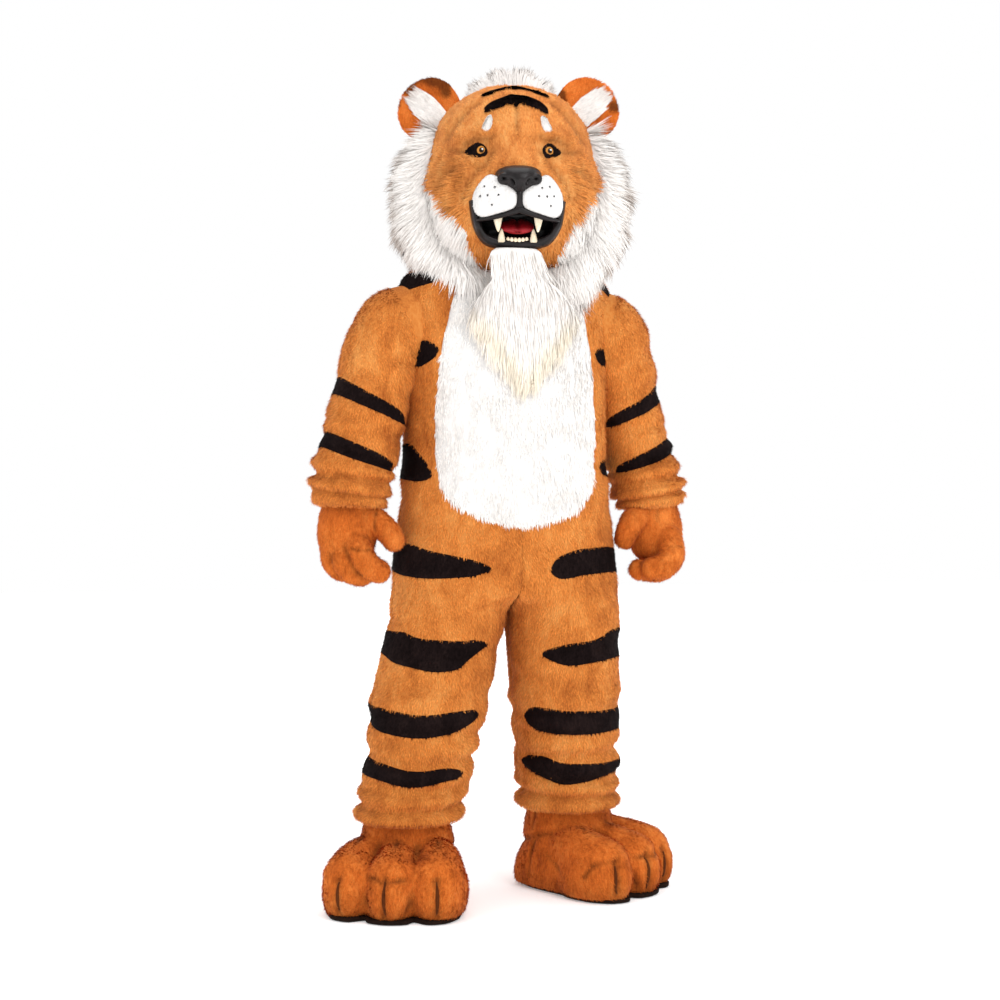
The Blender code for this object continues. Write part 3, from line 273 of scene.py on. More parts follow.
# ------------------------------------------------------------------ meshes
def build(name, points, faces, material, tint=None, normals=None, node=()):
    """A mesh from arrays; faces is (n, 3) or (n, 4). tint colours its points."""
    points = np.ascontiguousarray(points, np.float32).reshape(-1, 3)
    mesh = bpy.data.meshes.new(name)
    mesh.vertices.add(len(points))
    mesh.vertices.foreach_set("co", points.ravel())
    sides = faces if isinstance(faces, (list, tuple)) and not isinstance(faces, np.ndarray) else [faces]
    loops = np.concatenate([np.asarray(f, np.int32).ravel() for f in sides])
    counts = np.concatenate([np.full(len(f), np.asarray(f).shape[1], np.int32) for f in sides])
    mesh.loops.add(len(loops))
    mesh.loops.foreach_set("vertex_index", loops)
    mesh.polygons.add(len(counts))
    mesh.polygons.foreach_set("loop_start", np.concatenate([[0], np.cumsum(counts)[:-1]]).astype(np.int32))
    mesh.polygons.foreach_set("use_smooth", np.ones(len(counts), bool))
    mesh.update(calc_edges=True)
    layer = mesh.color_attributes.new("tint", "FLOAT_COLOR", "POINT")
    colours = np.ones((len(points), 4), np.float32)
    if tint is not None:
        tint = np.asarray(tint, np.float32)
        colours[:, :3] = tint[:, None] if tint.ndim == 1 else tint
    layer.data.foreach_set("color", colours.ravel())
    if normals is not None:
        mesh.normals_split_custom_set_from_vertices(np.ascontiguousarray(normals, np.float32))
    mesh.materials.append(material)
    obj = bpy.data.objects.new(name, mesh)
    COSTUME.objects.link(obj)
    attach(obj, "root")
    if node:
        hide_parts(*((node,) if isinstance(node, str) else node))
    return obj


def grid_faces(rows, columns, wrap=False, flip=False):
    j = np.arange(columns if wrap else columns - 1)
    i = np.arange(rows - 1)
    a = (i[:, None] * columns + j[None, :]).ravel()
    b = (i[:, None] * columns + ((j + 1) % columns)[None, :]).ravel()
    q = np.stack([a, b, b + columns, a + columns], axis=1)
    return q[:, ::-1] if flip else q


def grid_normals(points, wrap=False):
    """Unit directions of a grid of points; the order decides which side they point to."""
    if wrap:
        du = np.roll(points, -1, axis=1) - np.roll(points, 1, axis=1)
    else:
        du = np.gradient(points, axis=1)
    dv = np.gradient(points, axis=0)
    return unit(np.cross(du, dv))


def shell(name, points, away, thick, material, wrap=False, tint=None, node=(), inner_tint=0.5):
    """A closed thin wall: the outer points, and the same moved inwards."""
    r, c = points.shape[:2]
    outer = points.reshape(-1, 3)
    inner = (points - away * thick).reshape(-1, 3)
    n = r * c
    f = grid_faces(r, c, wrap)
    faces = [f, f[:, ::-1] + n]
    rims = []
    cols = np.arange(c if wrap else c - 1)
    nxt = (cols + 1) % c
    rims.append(np.stack([cols, cols + n, nxt + n, nxt], axis=1))
    last = (r - 1) * c
    rims.append(np.stack([cols + last, nxt + last, nxt + last + n, cols + last + n], axis=1))
    if not wrap:
        rr = np.arange(r - 1)
        a, b = rr * c, (rr + 1) * c
        rims.append(np.stack([a, b, b + n, a + n], axis=1))
        a, b = a + c - 1, b + c - 1
        rims.append(np.stack([a, a + n, b + n, b], axis=1))
    faces = np.concatenate(faces + rims)
    t = np.ones(2 * n)
    t[:n] = 1.0 if tint is None else np.asarray(tint).reshape(-1)
    t[n:] = inner_tint
    return build(name, np.concatenate([outer, inner]), faces, material, tint=t, node=node)


# ------------------------------------------------------------------ pile
class Surface:
    """Triangles to grow pile on, with whatever is known at their corners."""

    def __init__(self, points, normals, faces, **known):
        self.points = np.asarray(points, float).reshape(-1, 3)
        self.normals = unit(np.asarray(normals, float).reshape(-1, 3))
        faces = np.asarray(faces)
        if faces.shape[1] == 4:
            faces = np.concatenate([faces[:, [0, 1, 2]], faces[:, [0, 2, 3]]])
        self.faces = faces
        self.known = {k: np.asarray(v, float).reshape(len(self.points), -1) for k, v in known.items()}
        p = self.points[faces]
        self.area = np.linalg.norm(np.cross(p[:, 1] - p[:, 0], p[:, 2] - p[:, 0]), axis=1) / 2

    def scatter(self, count, seed, weight=None):
        rng = np.random.default_rng(seed)
        w = self.area if weight is None else self.area * np.maximum(weight[self.faces].mean(axis=1), 0)
        total = np.cumsum(w)
        pick = np.searchsorted(total, rng.random(int(count)) * total[-1])
        pick = np.clip(pick, 0, len(self.faces) - 1)
        u, v = rng.random(len(pick)), rng.random(len(pick))
        flip = u + v > 1
        u[flip], v[flip] = 1 - u[flip], 1 - v[flip]
        bary = np.stack([1 - u - v, u, v], axis=1)[:, :, None]
        f = self.faces[pick]
        out = {"p": (self.points[f] * bary).sum(1), "n": unit((self.normals[f] * bary).sum(1))}
        for k, a in self.known.items():
            out[k] = (a[f] * bary).sum(1)
        return out, rng


def tangent(direction, normal):
    """The part of a direction that lies along the surface."""
    d = np.broadcast_to(direction, normal.shape)
    return unit(d - normal * (d * normal).sum(-1, keepdims=True))


def strands(name, roots, material, tint_root, tint_tip, segments=1, soft=0.75, sink=0.0015, clump=0.0, clump_size=0.02, seed=1):
    """Tapered ribbons: roots holds p, n, way (tangent), long, wide, lean (radians from the normal), droop.

    Each ribbon starts along n leant towards way and bends on by droop. Its shading direction is
    mostly the cloth's, which is how light reads a dense pile.
    """
    p, n, way = roots["p"], roots["n"], roots["way"]
    long, wide = roots["long"][:, None], roots["wide"][:, None]
    lean, droop = roots["lean"][:, None], roots["droop"][:, None]
    count = len(p)
    rng = np.random.default_rng(seed)
    side = unit(np.cross(n, way))
    twist = (rng.random((count, 1)) - 0.5) * 1.2
    side = unit(side * np.cos(twist) + n * np.sin(twist))
    base = p - n * np.minimum(sink, 0.12 * long)
    pull = np.zeros_like(p)
    if clump:
        key = np.floor(p / clump_size + 0.35 * noise(p, clump_size * 2.3, 5)[:, None]).astype(np.int64)
        push = np.stack([lattice(key[:, 0], key[:, 1], key[:, 2], s) for s in (11, 12, 13)], axis=1) - 0.5
        centre = (key + 0.5) * clump_size
        pull = (centre - p) * clump * 0.8 + push * clump * long * 0.55
    steps = []
    for k in range(segments + 1):
        t = k / segments
        angle = lean + droop * t * 0.5
        reach = long * t
        path = base + (n * np.cos(angle) + way * np.sin(angle)) * reach + pull * t * t
        steps.append(path)
    points, tints, normals = [], [], []
    shade = unit(n * soft + (1 - soft) * (n * np.cos(lean) + way * np.sin(lean)) + (rng.random((count, 3)) - 0.5) * 0.5 * (1 - soft) * 2)
    vary = 1.0 + (rng.random((count, 1)) - 0.5) * 0.22
    tr = np.broadcast_to(np.asarray(tint_root, float), (count, 3)) if np.ndim(tint_root) < 2 else tint_root
    tt = np.broadcast_to(np.asarray(tint_tip, float), (count, 3)) if np.ndim(tint_tip) < 2 else tint_tip
    for k in range(segments + 1):
        t = k / segments
        half = wide * 0.5 * (1 - t) ** 0.7
        c = (tr * (1 - t) + tt * t) * vary
        if k < segments:
            points += [steps[k] - side * half, steps[k] + side * half]
            tints += [c, c]
            normals += [shade, shade]
        else:
            points.append(steps[k])
            tints.append(c)
            normals.append(shade)
    per = 2 * segments + 1
    pts = np.stack(points, axis=1).reshape(-1, 3)
    col = np.stack(tints, axis=1).reshape(-1, 3)
    nrm = np.stack(normals, axis=1).reshape(-1, 3)
    first = np.arange(count)[:, None] * per
    faces = []
    for k in range(segments - 1):
        a = first + 2 * k
        faces += [np.concatenate([a, a + 1, a + 3], axis=1), np.concatenate([a, a + 3, a + 2], axis=1)]
    a = first + 2 * (segments - 1)
    faces.append(np.concatenate([a, a + 1, a + 2], axis=1))
    faces = np.concatenate(faces)
    corner = pts[faces]
    facing = (np.cross(corner[:, 1] - corner[:, 0], corner[:, 2] - corner[:, 0]) * nrm[faces[:, 0]]).sum(-1)
    faces = np.where((facing < 0)[:, None], faces[:, ::-1], faces)
    return build(name, pts, faces, material, tint=col, normals=nrm)


def pile(name, surface, count, material, slot, long, wide=0.0016, lean=62, way=(0, 0, -1), weight=None, seed=1,
         root=0.72, tip=1.10, spread=0.35, segments=1, droop=0.0, soft=0.75, clump=0.0, clump_size=0.02, mask=None, tint=None):
    """Short pile over a surface, leaning the way the nap is brushed."""
    found, rng = surface.scatter(count * PLENTY, seed, weight)
    if mask is not None:
        keep = mask(found)
        found = {k: v[keep] for k, v in found.items()}
    n = found["n"]
    direction = way(found) if callable(way) else np.asarray(way, float)
    swirl = np.stack([noise(found["p"], 0.11, s + 40) + 0.5 * noise(found["p"], 0.025, s + 50) for s in (1, 2, 3)], axis=1)
    flow = tangent(unit(np.broadcast_to(direction, n.shape)) + 0.55 * spread * swirl + spread * 0.8 * (rng.random(n.shape) - 0.5), n)
    m = len(n)
    length = (long(found) if callable(long) else np.full(m, long)) * (0.7 + 0.6 * rng.random(m))
    leans = np.radians(lean(found) if callable(lean) else np.full(m, float(lean)))
    leans = leans + (rng.random(m) - 0.5) * 0.5 + 0.18 * noise(found["p"], 0.03, seed + 7)
    roots = dict(p=found["p"], n=n, way=flow, long=length, wide=np.full(m, wide / math.sqrt(PLENTY)) * (0.7 + 0.6 * rng.random(m)),
                 lean=leans, droop=np.full(m, float(droop)))
    colour = np.ones((m, 3)) if tint is None else tint(found)
    # root and tip scale the tint along each strand: darker roots are painted shade inside the pile, brighter tips
    # painted light
    return strands(name, roots, material, colour * root, colour * tip, segments=segments, soft=soft,
                   clump=clump, clump_size=clump_size, seed=seed)


# ------------------------------------------------------------------ camera, light and floor
CAM_TURN, CAM_AWAY, CAM_UP = math.radians(14.0), 4.16, 0.93
lens = bpy.data.cameras.new("camera")
camera = bpy.data.objects.new("camera", lens)
scene.collection.objects.link(camera)
camera.location = (-CAM_AWAY * math.sin(CAM_TURN), -CAM_AWAY * math.cos(CAM_TURN), CAM_UP + FLOOR)
camera.rotation_euler = (math.pi / 2, 0, -CAM_TURN)
lens.sensor_width = 36.0
lens.lens = 1752.0 / 1000.0 * 36.0
lens.shift_x = -0.005
lens.clip_end = 60.0
scene.camera = camera
scene.view_settings.view_transform = "Standard"
scene.view_settings.look = "None"

world = bpy.data.worlds.new("studio")
scene.world = world
world.use_nodes = True
world.node_tree.nodes["Background"].inputs["Color"].default_value = (1.0, 1.0, 1.0, 1)
world.node_tree.nodes["Background"].inputs["Strength"].default_value = 1.0


def lamp(name, place, aim, size, power, colour=(1, 1, 1)):
    data = bpy.data.lights.new(name, "AREA")
    data.shape = "RECTANGLE"
    data.size, data.size_y = size
    data.energy = power
    data.color = colour
    obj = bpy.data.objects.new(name, data)
    scene.collection.objects.link(obj)
    obj.location = place
    obj.rotation_euler = (Vector(aim) - Vector(place)).to_track_quat("-Z", "Y").to_euler()
    return obj


lamp("key", (1.1, -3.5, 1.9), (0, 0, -0.4), (1.8, 1.8), 62)
lamp("fill", (-3.0, -2.2, 0.7), (0, 0, -0.5), (1.6, 2.4), 8)
lamp("top", (0.0, -0.3, 2.6), (0, 0, -0.3), (2.2, 2.2), 30)
lamp("rim", (1.6, 2.6, 1.5), (0, 0, -0.2), (1.2, 2.2), 10)

floor_made, floor_tree, floor_shader = new_material("studio_floor")
floor_coords = floor_tree.nodes.new("ShaderNodeTexCoord").outputs["Object"]
floor_tree.links.new(ramp(floor_tree, noise_node(floor_tree, floor_coords, 0.8), ((0.3, (0.93, 0.93, 0.93)), (0.7, (0.95, 0.95, 0.95)))),
                     floor_shader.inputs["Base Color"])
floor_shader.inputs["Roughness"].default_value = 0.9
floor_far = floor_tree.nodes.new("ShaderNodeVectorMath")
floor_far.operation = "LENGTH"
floor_tree.links.new(floor_coords, floor_far.inputs[0])
floor_fade = floor_tree.nodes.new("ShaderNodeMapRange")
floor_fade.interpolation_type = "SMOOTHSTEP"
floor_fade.inputs["From Min"].default_value = 0.7
floor_fade.inputs["From Max"].default_value = 3.2
floor_tree.links.new(floor_far.outputs["Value"], floor_fade.inputs["Value"])
floor_shader.inputs["Emission Color"].default_value = (1.0, 1.0, 1.0, 1)
floor_tree.links.new(floor_fade.outputs["Result"], floor_shader.inputs["Emission Strength"])
floor_shader.inputs["Specular IOR Level"].default_value = 0.1
floor_mesh = bpy.data.meshes.new("floor")
floor_mesh.from_pydata([(-14, -14, FLOOR - 0.0006), (14, -14, FLOOR - 0.0006), (14, 14, FLOOR - 0.0006), (-14, 14, FLOOR - 0.0006)], [], [(0, 1, 2, 3)])
floor_mesh.materials.append(floor_made)
floor = bpy.data.objects.new("floor", floor_mesh)
scene.collection.objects.link(floor)

# ------------------------------------------------------------------ suit body
TORSO = Table("z width front back y spread",
              (1.545, 0.098, 0.080, 0.080, 0.012, 90),
              (1.520, 0.135, 0.095, 0.095, 0.012, 90),
              (1.485, 0.200, 0.113, 0.115, 0.010, 90),
              (1.445, 0.246, 0.130, 0.130, 0.008, 90),
              (1.390, 0.262, 0.142, 0.140, 0.004, 90),
              (1.310, 0.256, 0.152, 0.145, 0.000, 90),
              (1.200, 0.245, 0.158, 0.145, 0.000, 90),
              (1.060, 0.243, 0.160, 0.145, 0.000, 90),
              (0.930, 0.250, 0.163, 0.155, 0.000, 90),
              (0.820, 0.264, 0.165, 0.165, 0.000, 90),
              (0.750, 0.270, 0.162, 0.163, 0.000, 96),
              (0.715, 0.272, 0.158, 0.160, 0.000, 118),
              (0.690, 0.272, 0.153, 0.156, 0.000, 150),
              (0.660, 0.273, 0.148, 0.150, 0.000, 180))
LEG = {
    RIGHT: Table("z x y wide deep",
                 (0.660, 0.1375, 0.000, 0.1345, 0.149),
                 (0.600, 0.154, -0.006, 0.1345, 0.146),
                 (0.530, 0.172, -0.020, 0.1345, 0.143),
                 (0.464, 0.190, -0.034, 0.1345, 0.141),
                 (0.400, 0.202, -0.039, 0.128, 0.136),
                 (0.340, 0.212, -0.040, 0.121, 0.130),
                 (0.300, 0.219, -0.040, 0.124, 0.131),
                 (0.262, 0.228, -0.041, 0.117, 0.125),
                 (0.222, 0.238, -0.042, 0.122, 0.128),
                 (0.184, 0.244, -0.042, 0.106, 0.112)),
    LEFT: Table("z x y wide deep",
                (0.660, 0.1375, 0.000, 0.1345, 0.149),
                (0.600, 0.139, -0.004, 0.1330, 0.146),
                (0.530, 0.141, -0.008, 0.1310, 0.143),
                (0.464, 0.144, -0.006, 0.1290, 0.140),
                (0.400, 0.149, 0.004, 0.125, 0.135),
                (0.340, 0.155, 0.020, 0.119, 0.129),
                (0.300, 0.159, 0.030, 0.124, 0.131),
                (0.262, 0.163, 0.038, 0.116, 0.124),
                (0.222, 0.167, 0.045, 0.121, 0.127),
                (0.184, 0.171, 0.050, 0.107, 0.112)),
}

# where the cloth folds: c and z of the middle (c: -1 centre front or inseam, 0 side, 1 back), half
# its run in c, the rise to its end, its sag, its depth and width in millimetres
FOLDS = {
    RIGHT: (
        (-0.45, 0.240, 0.85, -0.004, -0.014, 11.0, 14), (-0.42, 0.288, 0.42, 0.010, -0.012, 6.5, 14), (-0.25, 0.262, 0.28, 0.014, 0.000, 4.0, 8),
        (-0.60, 0.346, 0.70, -0.010, -0.012, 8.0, 17), (-0.75, 0.404, 0.55, 0.018, -0.008, 6.0, 18), (-0.15, 0.440, 0.60, -0.022, -0.006, 5.5, 20),
        (-0.60, 0.505, 0.55, 0.028, -0.010, 4.5, 22), (-0.75, 0.575, 0.40, -0.020, 0.004, 3.0, 22),
        (0.52, 0.246, 0.75, 0.006, -0.012, 9.0, 15), (0.58, 0.300, 0.42, -0.008, -0.010, 6.0, 16), (0.45, 0.362, 0.60, 0.012, -0.010, 7.5, 18),
        (0.60, 0.430, 0.60, -0.014, -0.010, 6.5, 20), (0.50, 0.510, 0.50, 0.020, -0.010, 5.0, 22),
        (-0.85, 0.800, 0.28, -0.030, 0.010, 3.5, 20), (-0.70, 0.868, 0.30, -0.020, 0.004, 2.6, 22),
        (-0.45, 0.905, 0.45, -0.024, -0.010, 3.4, 24), (-0.30, 1.010, 0.40, 0.020, -0.012, 3.0, 26),
        (0.30, 0.960, 0.45, 0.024, -0.014, 4.0, 24), (0.60, 0.880, 0.50, -0.020, 0.010, 3.6, 26),
        (0.55, 1.120, 0.50, 0.020, -0.010, 3.0, 28), (-0.30, 0.700, 0.50, 0.040, 0.010, 3.0, 26),
        (0.50, 0.690, 0.45, -0.040, 0.012, 4.4, 22), (0.70, 0.640, 0.35, -0.030, 0.012, 4.0, 20),
        (-0.60, 1.330, 0.35, 0.060, 0.010, 2.8, 22), (-0.45, 1.180, 0.35, 0.050, 0.000, 2.4, 24)),
    LEFT: (
        (-0.50, 0.242, 0.80, -0.008, -0.014, 11.0, 14), (-0.30, 0.287, 0.40, 0.012, -0.014, 6.5, 14), (-0.20, 0.262, 0.30, 0.012, 0.000, 4.5, 8),
        (-0.82, 0.290, 0.26, -0.034, 0.000, 6.0, 9), (-0.45, 0.345, 0.65, 0.012, -0.014, 8.5, 17), (-0.65, 0.386, 0.42, -0.018, -0.004, 5.0, 14),
        (-0.40, 0.446, 0.60, 0.020, -0.008, 5.5, 20), (-0.60, 0.510, 0.55, -0.024, -0.006, 4.0, 22), (-0.35, 0.580, 0.45, 0.022, 0.004, 3.0, 22),
        (0.50, 0.246, 0.75, -0.006, -0.012, 9.0, 15), (0.58, 0.300, 0.42, 0.008, -0.010, 6.0, 16), (0.45, 0.362, 0.60, -0.012, -0.010, 7.5, 18),
        (0.62, 0.432, 0.60, 0.014, -0.010, 6.5, 20), (0.50, 0.512, 0.50, -0.020, -0.010, 5.0, 22),
        (-0.85, 0.805, 0.28, 0.030, 0.008, 3.5, 20), (-0.60, 0.865, 0.35, 0.018, 0.004, 2.6, 22),
        (-0.40, 0.915, 0.45, 0.020, -0.008, 3.4, 24), (-0.25, 1.030, 0.40, -0.020, -0.010, 2.8, 26),
        (0.35, 0.950, 0.45, -0.022, -0.014, 3.8, 24), (0.60, 0.870, 0.50, 0.022, 0.010, 3.6, 26),
        (0.50, 1.130, 0.50, -0.020, -0.010, 2.8, 28), (-0.30, 0.700, 0.50, -0.036, 0.010, 3.0, 26),
        (0.55, 0.690, 0.45, 0.036, 0.012, 4.4, 22), (0.70, 0.640, 0.35, 0.030, 0.012, 3.8, 20),
        (-0.55, 1.300, 0.35, -0.050, 0.010, 2.6, 22), (-0.45, 1.160, 0.35, -0.050, 0.000, 2.4, 24)),
}


def crease(t, off, depth):
    """A soft trough with a fuller roll above it; off is in widths from the trough."""
    mask = smooth(1.0, 0.45, np.abs(t))
    return depth * mask * (-np.exp(-(off * 1.15)**2) + 0.80 * np.exp(-((off - 1.55) / 1.05)**2)
                           + 0.40 * np.exp(-((off + 1.6) / 1.1)**2))


def folds_at(rows, c, z, around=2.0):
    out = np.zeros(np.broadcast(c, z).shape)
    for c0, z0, half, rise, sag, depth, width in rows:
        t = ((c - c0 + around / 2) % around - around / 2) / half
        line = z0 + rise * t + sag * (1 - t * t)
        out = out + crease(t, (z - line) * 1000 / width, depth / 1000)
    return out


def suit_shape(side, c, z):
    c, z = np.broadcast_arrays(np.asarray(c, float), np.asarray(z, float))
    spread = np.radians(np.minimum(180.0, TORSO("spread", z)))
    turn = c * spread
    wide = TORSO("width", z) / (1 - np.cos(spread))
    deep = np.where(turn < 0, TORSO("front", z), TORSO("back", z))
    x = -wide * np.cos(spread) + wide * np.cos(turn) + 0.0025 * np.maximum(0, np.degrees(spread) - 90) / 90
    y = TORSO("y", z) + deep * np.sin(turn)
    leg = LEG[side]
    below = z < 0.66
    x = np.where(below, leg("x", z) + leg("wide", z) * np.cos(turn), x)
    y = np.where(below, leg("y", z) + leg("deep", z) * np.sin(turn), y)
    return np.stack([side * x, y, z + FLOOR], axis=-1)


def suit_away(side, c, z):
    h = 1e-3
    du = suit_shape(side, c + h, z) - suit_shape(side, c - h, z)
    dv = suit_shape(side, c, z + h) - suit_shape(side, c, z - h)
    n = unit(np.cross(du, dv))
    # the order of c runs from front to back, so the cross product points out on the left side
    return n if side == LEFT else -n


def suit_relief(side, c, z):
    """How far the worn cloth stands off the plain form."""
    p = suit_shape(side, c, z)
    h = folds_at(FOLDS[side], c, z)
    h = h + 0.0022 * noise(p, 0.09, 3) + 0.0011 * noise(p, 0.035, 4)
    h = h * smooth(1.50, 1.44, z)
    seam = np.minimum(np.abs(c), np.abs(1 - np.abs(c))) * 0.40
    h = h - 0.0022 * np.exp(-(seam / 0.005)**2)
    # close to the middle line of the trunk both halves agree
    edge = smooth(0.0, 0.12, 1 - np.abs(c)) * smooth(0.60, 0.72, z) + (1 - smooth(0.60, 0.72, z))
    h = h * np.where(z > 0.66, edge, 1.0)
    # the hem is turned under, so it rolls in
    h = h + 0.006 * np.exp(-((z - 0.208) / 0.014)**2) - 0.012 * smooth(0.200, 0.184, z)
    return h


def suit_point(side, c, z, lift=0.0):
    p, n = suit_shape(side, c, z), suit_away(side, c, z)
    return p + n * (suit_relief(side, c, z) + lift)[..., None]


SUIT_Z = np.concatenate([np.linspace(1.545, 0.76, 46), np.linspace(0.750, 0.645, 17), np.linspace(0.64, 0.184, 88)])
BELLY = Table("z half",
              (1.400, 3.05), (1.350, 3.40), (1.283, 3.90), (1.200, 4.30), (1.120, 4.55), (1.040, 4.50),
              (0.985, 4.30), (0.950, 3.95), (0.925, 3.40), (0.903, 2.60), (0.886, 1.65), (0.872, 0.60))

# sixteenths round the half from the centre front, z below, z above
STRIPES = {
    "hip": {RIGHT: ((1.40, 0.7720, 0.7745), (1.60, 0.766, 0.782), (2.4, 0.755, 0.795), (4.4, 0.750, 0.813), (6.4, 0.756, 0.830), (8.2, 0.766, 0.820),
                    (11.0, 0.765, 0.808), (13.2, 0.771, 0.790), (13.7, 0.778, 0.781)),
            LEFT: ((1.30, 0.766, 0.771), (1.50, 0.755, 0.788), (1.9, 0.748, 0.802), (3.2, 0.756, 0.817), (5.0, 0.760, 0.820), (8.0, 0.760, 0.812),
                   (11.0, 0.758, 0.803), (13.0, 0.764, 0.788), (13.7, 0.771, 0.775))},
    "thigh": {RIGHT: ((2.35, 0.596, 0.600), (2.7, 0.585, 0.607), (3.3, 0.563, 0.611), (3.7, 0.545, 0.609), (4.6, 0.540, 0.611), (5.7, 0.549, 0.615),
                      (6.6, 0.556, 0.627), (7.8, 0.572, 0.626), (11.0, 0.578, 0.620), (13.6, 0.585, 0.606), (14.1, 0.593, 0.597)),
              LEFT: ((2.35, 0.570, 0.576), (2.6, 0.562, 0.584), (3.5, 0.548, 0.597), (4.8, 0.554, 0.606), (6.0, 0.560, 0.628), (8.5, 0.562, 0.630),
                     (12.0, 0.562, 0.618), (14.6, 0.572, 0.598), (15.1, 0.582, 0.586))},
    "knee": {RIGHT: ((2.0, 0.438, 0.443), (2.4, 0.424, 0.453), (3.2, 0.402, 0.452), (4.8, 0.394, 0.445), (6.6, 0.402, 0.455), (8.4, 0.418, 0.458),
                     (11.0, 0.424, 0.455), (13.4, 0.432, 0.450), (13.9, 0.440, 0.443)),
             LEFT: ((1.15, 0.424, 0.430), (1.5, 0.406, 0.444), (2.0, 0.392, 0.450), (3.6, 0.385, 0.440), (5.6, 0.387, 0.438), (8.0, 0.390, 0.440),
                    (12.0, 0.396, 0.436), (14.2, 0.406, 0.428), (14.7, 0.415, 0.419))},
    "shin": {RIGHT: ((2.2, 0.307, 0.312), (2.6, 0.299, 0.319), (3.2, 0.296, 0.323), (4.6, 0.283, 0.319), (6.6, 0.296, 0.332), (8.2, 0.300, 0.338),
                     (11.0, 0.302, 0.334), (13.6, 0.308, 0.324), (14.1, 0.315, 0.318)),
             LEFT: ((0.85, 0.314, 0.320), (1.15, 0.296, 0.327), (1.9, 0.279, 0.328), (3.1, 0.263, 0.315), (4.4, 0.268, 0.313), (5.6, 0.280, 0.312),
                    (9.0, 0.284, 0.311), (13.0, 0.290, 0.304), (13.5, 0.296, 0.299))},
    "waist": {RIGHT: ((4.75, 0.986, 0.992), (5.1, 0.976, 1.014), (5.6, 0.973, 1.032), (6.6, 0.975, 1.060), (8.0, 0.980, 1.062), (10.6, 0.987, 1.056),
                      (12.6, 1.002, 1.034), (13.1, 1.016, 1.020)),
              LEFT: ((5.1, 1.002, 1.006), (5.5, 0.989, 1.021), (8.0, 0.985, 1.030), (10.6, 0.988, 1.036), (12.6, 1.000, 1.026), (13.1, 1.012, 1.016))},
    "chest": {RIGHT: ((4.15, 1.272, 1.278), (4.45, 1.257, 1.290), (5.0, 1.245, 1.297), (5.6, 1.237, 1.293), (6.1, 1.242, 1.282)),
              LEFT: ((4.4, 1.268, 1.272), (4.7, 1.257, 1.284), (5.1, 1.249, 1.287), (5.9, 1.246, 1.284))},
    "shoulder": {RIGHT: ((3.95, 1.448, 1.452), (4.4, 1.430, 1.462), (5.0, 1.424, 1.466), (6.0, 1.418, 1.462), (7.0, 1.412, 1.458), (8.2, 1.412, 1.455),
                         (10.0, 1.430, 1.464), (11.2, 1.448, 1.466), (11.7, 1.458, 1.461)),
                 LEFT: ((4.3, 1.462, 1.467), (4.7, 1.444, 1.470), (5.4, 1.428, 1.464), (6.4, 1.412, 1.446), (7.4, 1.404, 1.432), (8.6, 1.406, 1.436),
                        (10.6, 1.430, 1.458), (11.4, 1.448, 1.460), (11.8, 1.455, 1.458))},
}
BANDS = {}
for place, sides in STRIPES.items():
    for side, rows in sides.items():
        BANDS.setdefault(side, []).append((place, Table("c low high", *[(c / 8 - 1, lo, hi) for c, lo, hi in rows])))


def in_band(table, c, z, edge=0.0, ragged=None):
    c0, c1 = table.rows[0, 0], table.rows[-1, 0]
    low, high = table("low", c), table("high", c)
    wobble = 0 if ragged is None else ragged
    return (c > c0 - edge) & (c < c1 + edge) & (z > low - edge + wobble) & (z < high + edge + wobble)


def in_belly(c, z, edge=0.0):
    return (c + 1 < BELLY("half", z) / 8 + edge) & (z < 1.42) & (z > 0.872 - edge)


PANELS = {}
for side in (RIGHT, LEFT):
    word = WORD[side]
    for part, c0, c1 in (("front", -1, 0), ("back", 0, 1)):
        c = np.linspace(c0, c1, 29) * 0.9985 + (c0 + c1) * 0.00075
        C, Z = np.meshgrid(c, SUIT_Z)
        points = suit_point(side, C, Z)
        away = grid_normals(points)
        if side == LEFT:
            away = -away
        if np.mean((away * (points - points.mean(axis=(0, 1)))).sum(-1)) < 0:
            away = -away
        # painted shade: the cloth under the pile is darker, as if in the pile's shade
        shade = np.full(C.shape, 0.62)
        flip = side == LEFT
        name = "suit_%s_%s" % (part, word)
        if flip:
            panel = shell("v_" + name, points[:, ::-1], away[:, ::-1], 0.0025, ORANGE, tint=shade[:, ::-1], node=name)
        else:
            panel = shell("v_" + name, points, away, 0.0025, ORANGE, tint=shade, node=name)
        surface = Surface(points, away, grid_faces(len(SUIT_Z), len(c)), c=C, z=Z)

        def bare(found, side=side):
            c, z = found["c"][:, 0], found["z"][:, 0]
            keep = ~in_belly(c, z)
            for place, table in BANDS[side]:
                keep &= ~in_band(table, c, z - 0.003)
            return keep & (z > 0.188)
        coat = pile("pile_" + name, surface, 40000 if part == "front" else 30000, ORANGE, "plush_orange", 0.0100, wide=0.0027 if part == "front" else 0.0030, lean=60,
                    seed=10 + side + (3 if part == "back" else 0), mask=bare, spread=0.45)
        PANELS[name] = (panel, surface, coat)
note("suit")


# ------------------------------------------------------------------ belly
def belly_point(t, z, lift=0.0):
    """t runs from -1 at the wearer's right edge to 1 at the left."""
    t, z = np.broadcast_arrays(np.asarray(t, float), np.asarray(z, float))
    c = -1 + np.abs(t) * BELLY("half", z) / 8
    right, left = suit_point(RIGHT, c, z, lift), suit_point(LEFT, c, z, lift)
    return np.where((t < 0)[..., None], right, left)


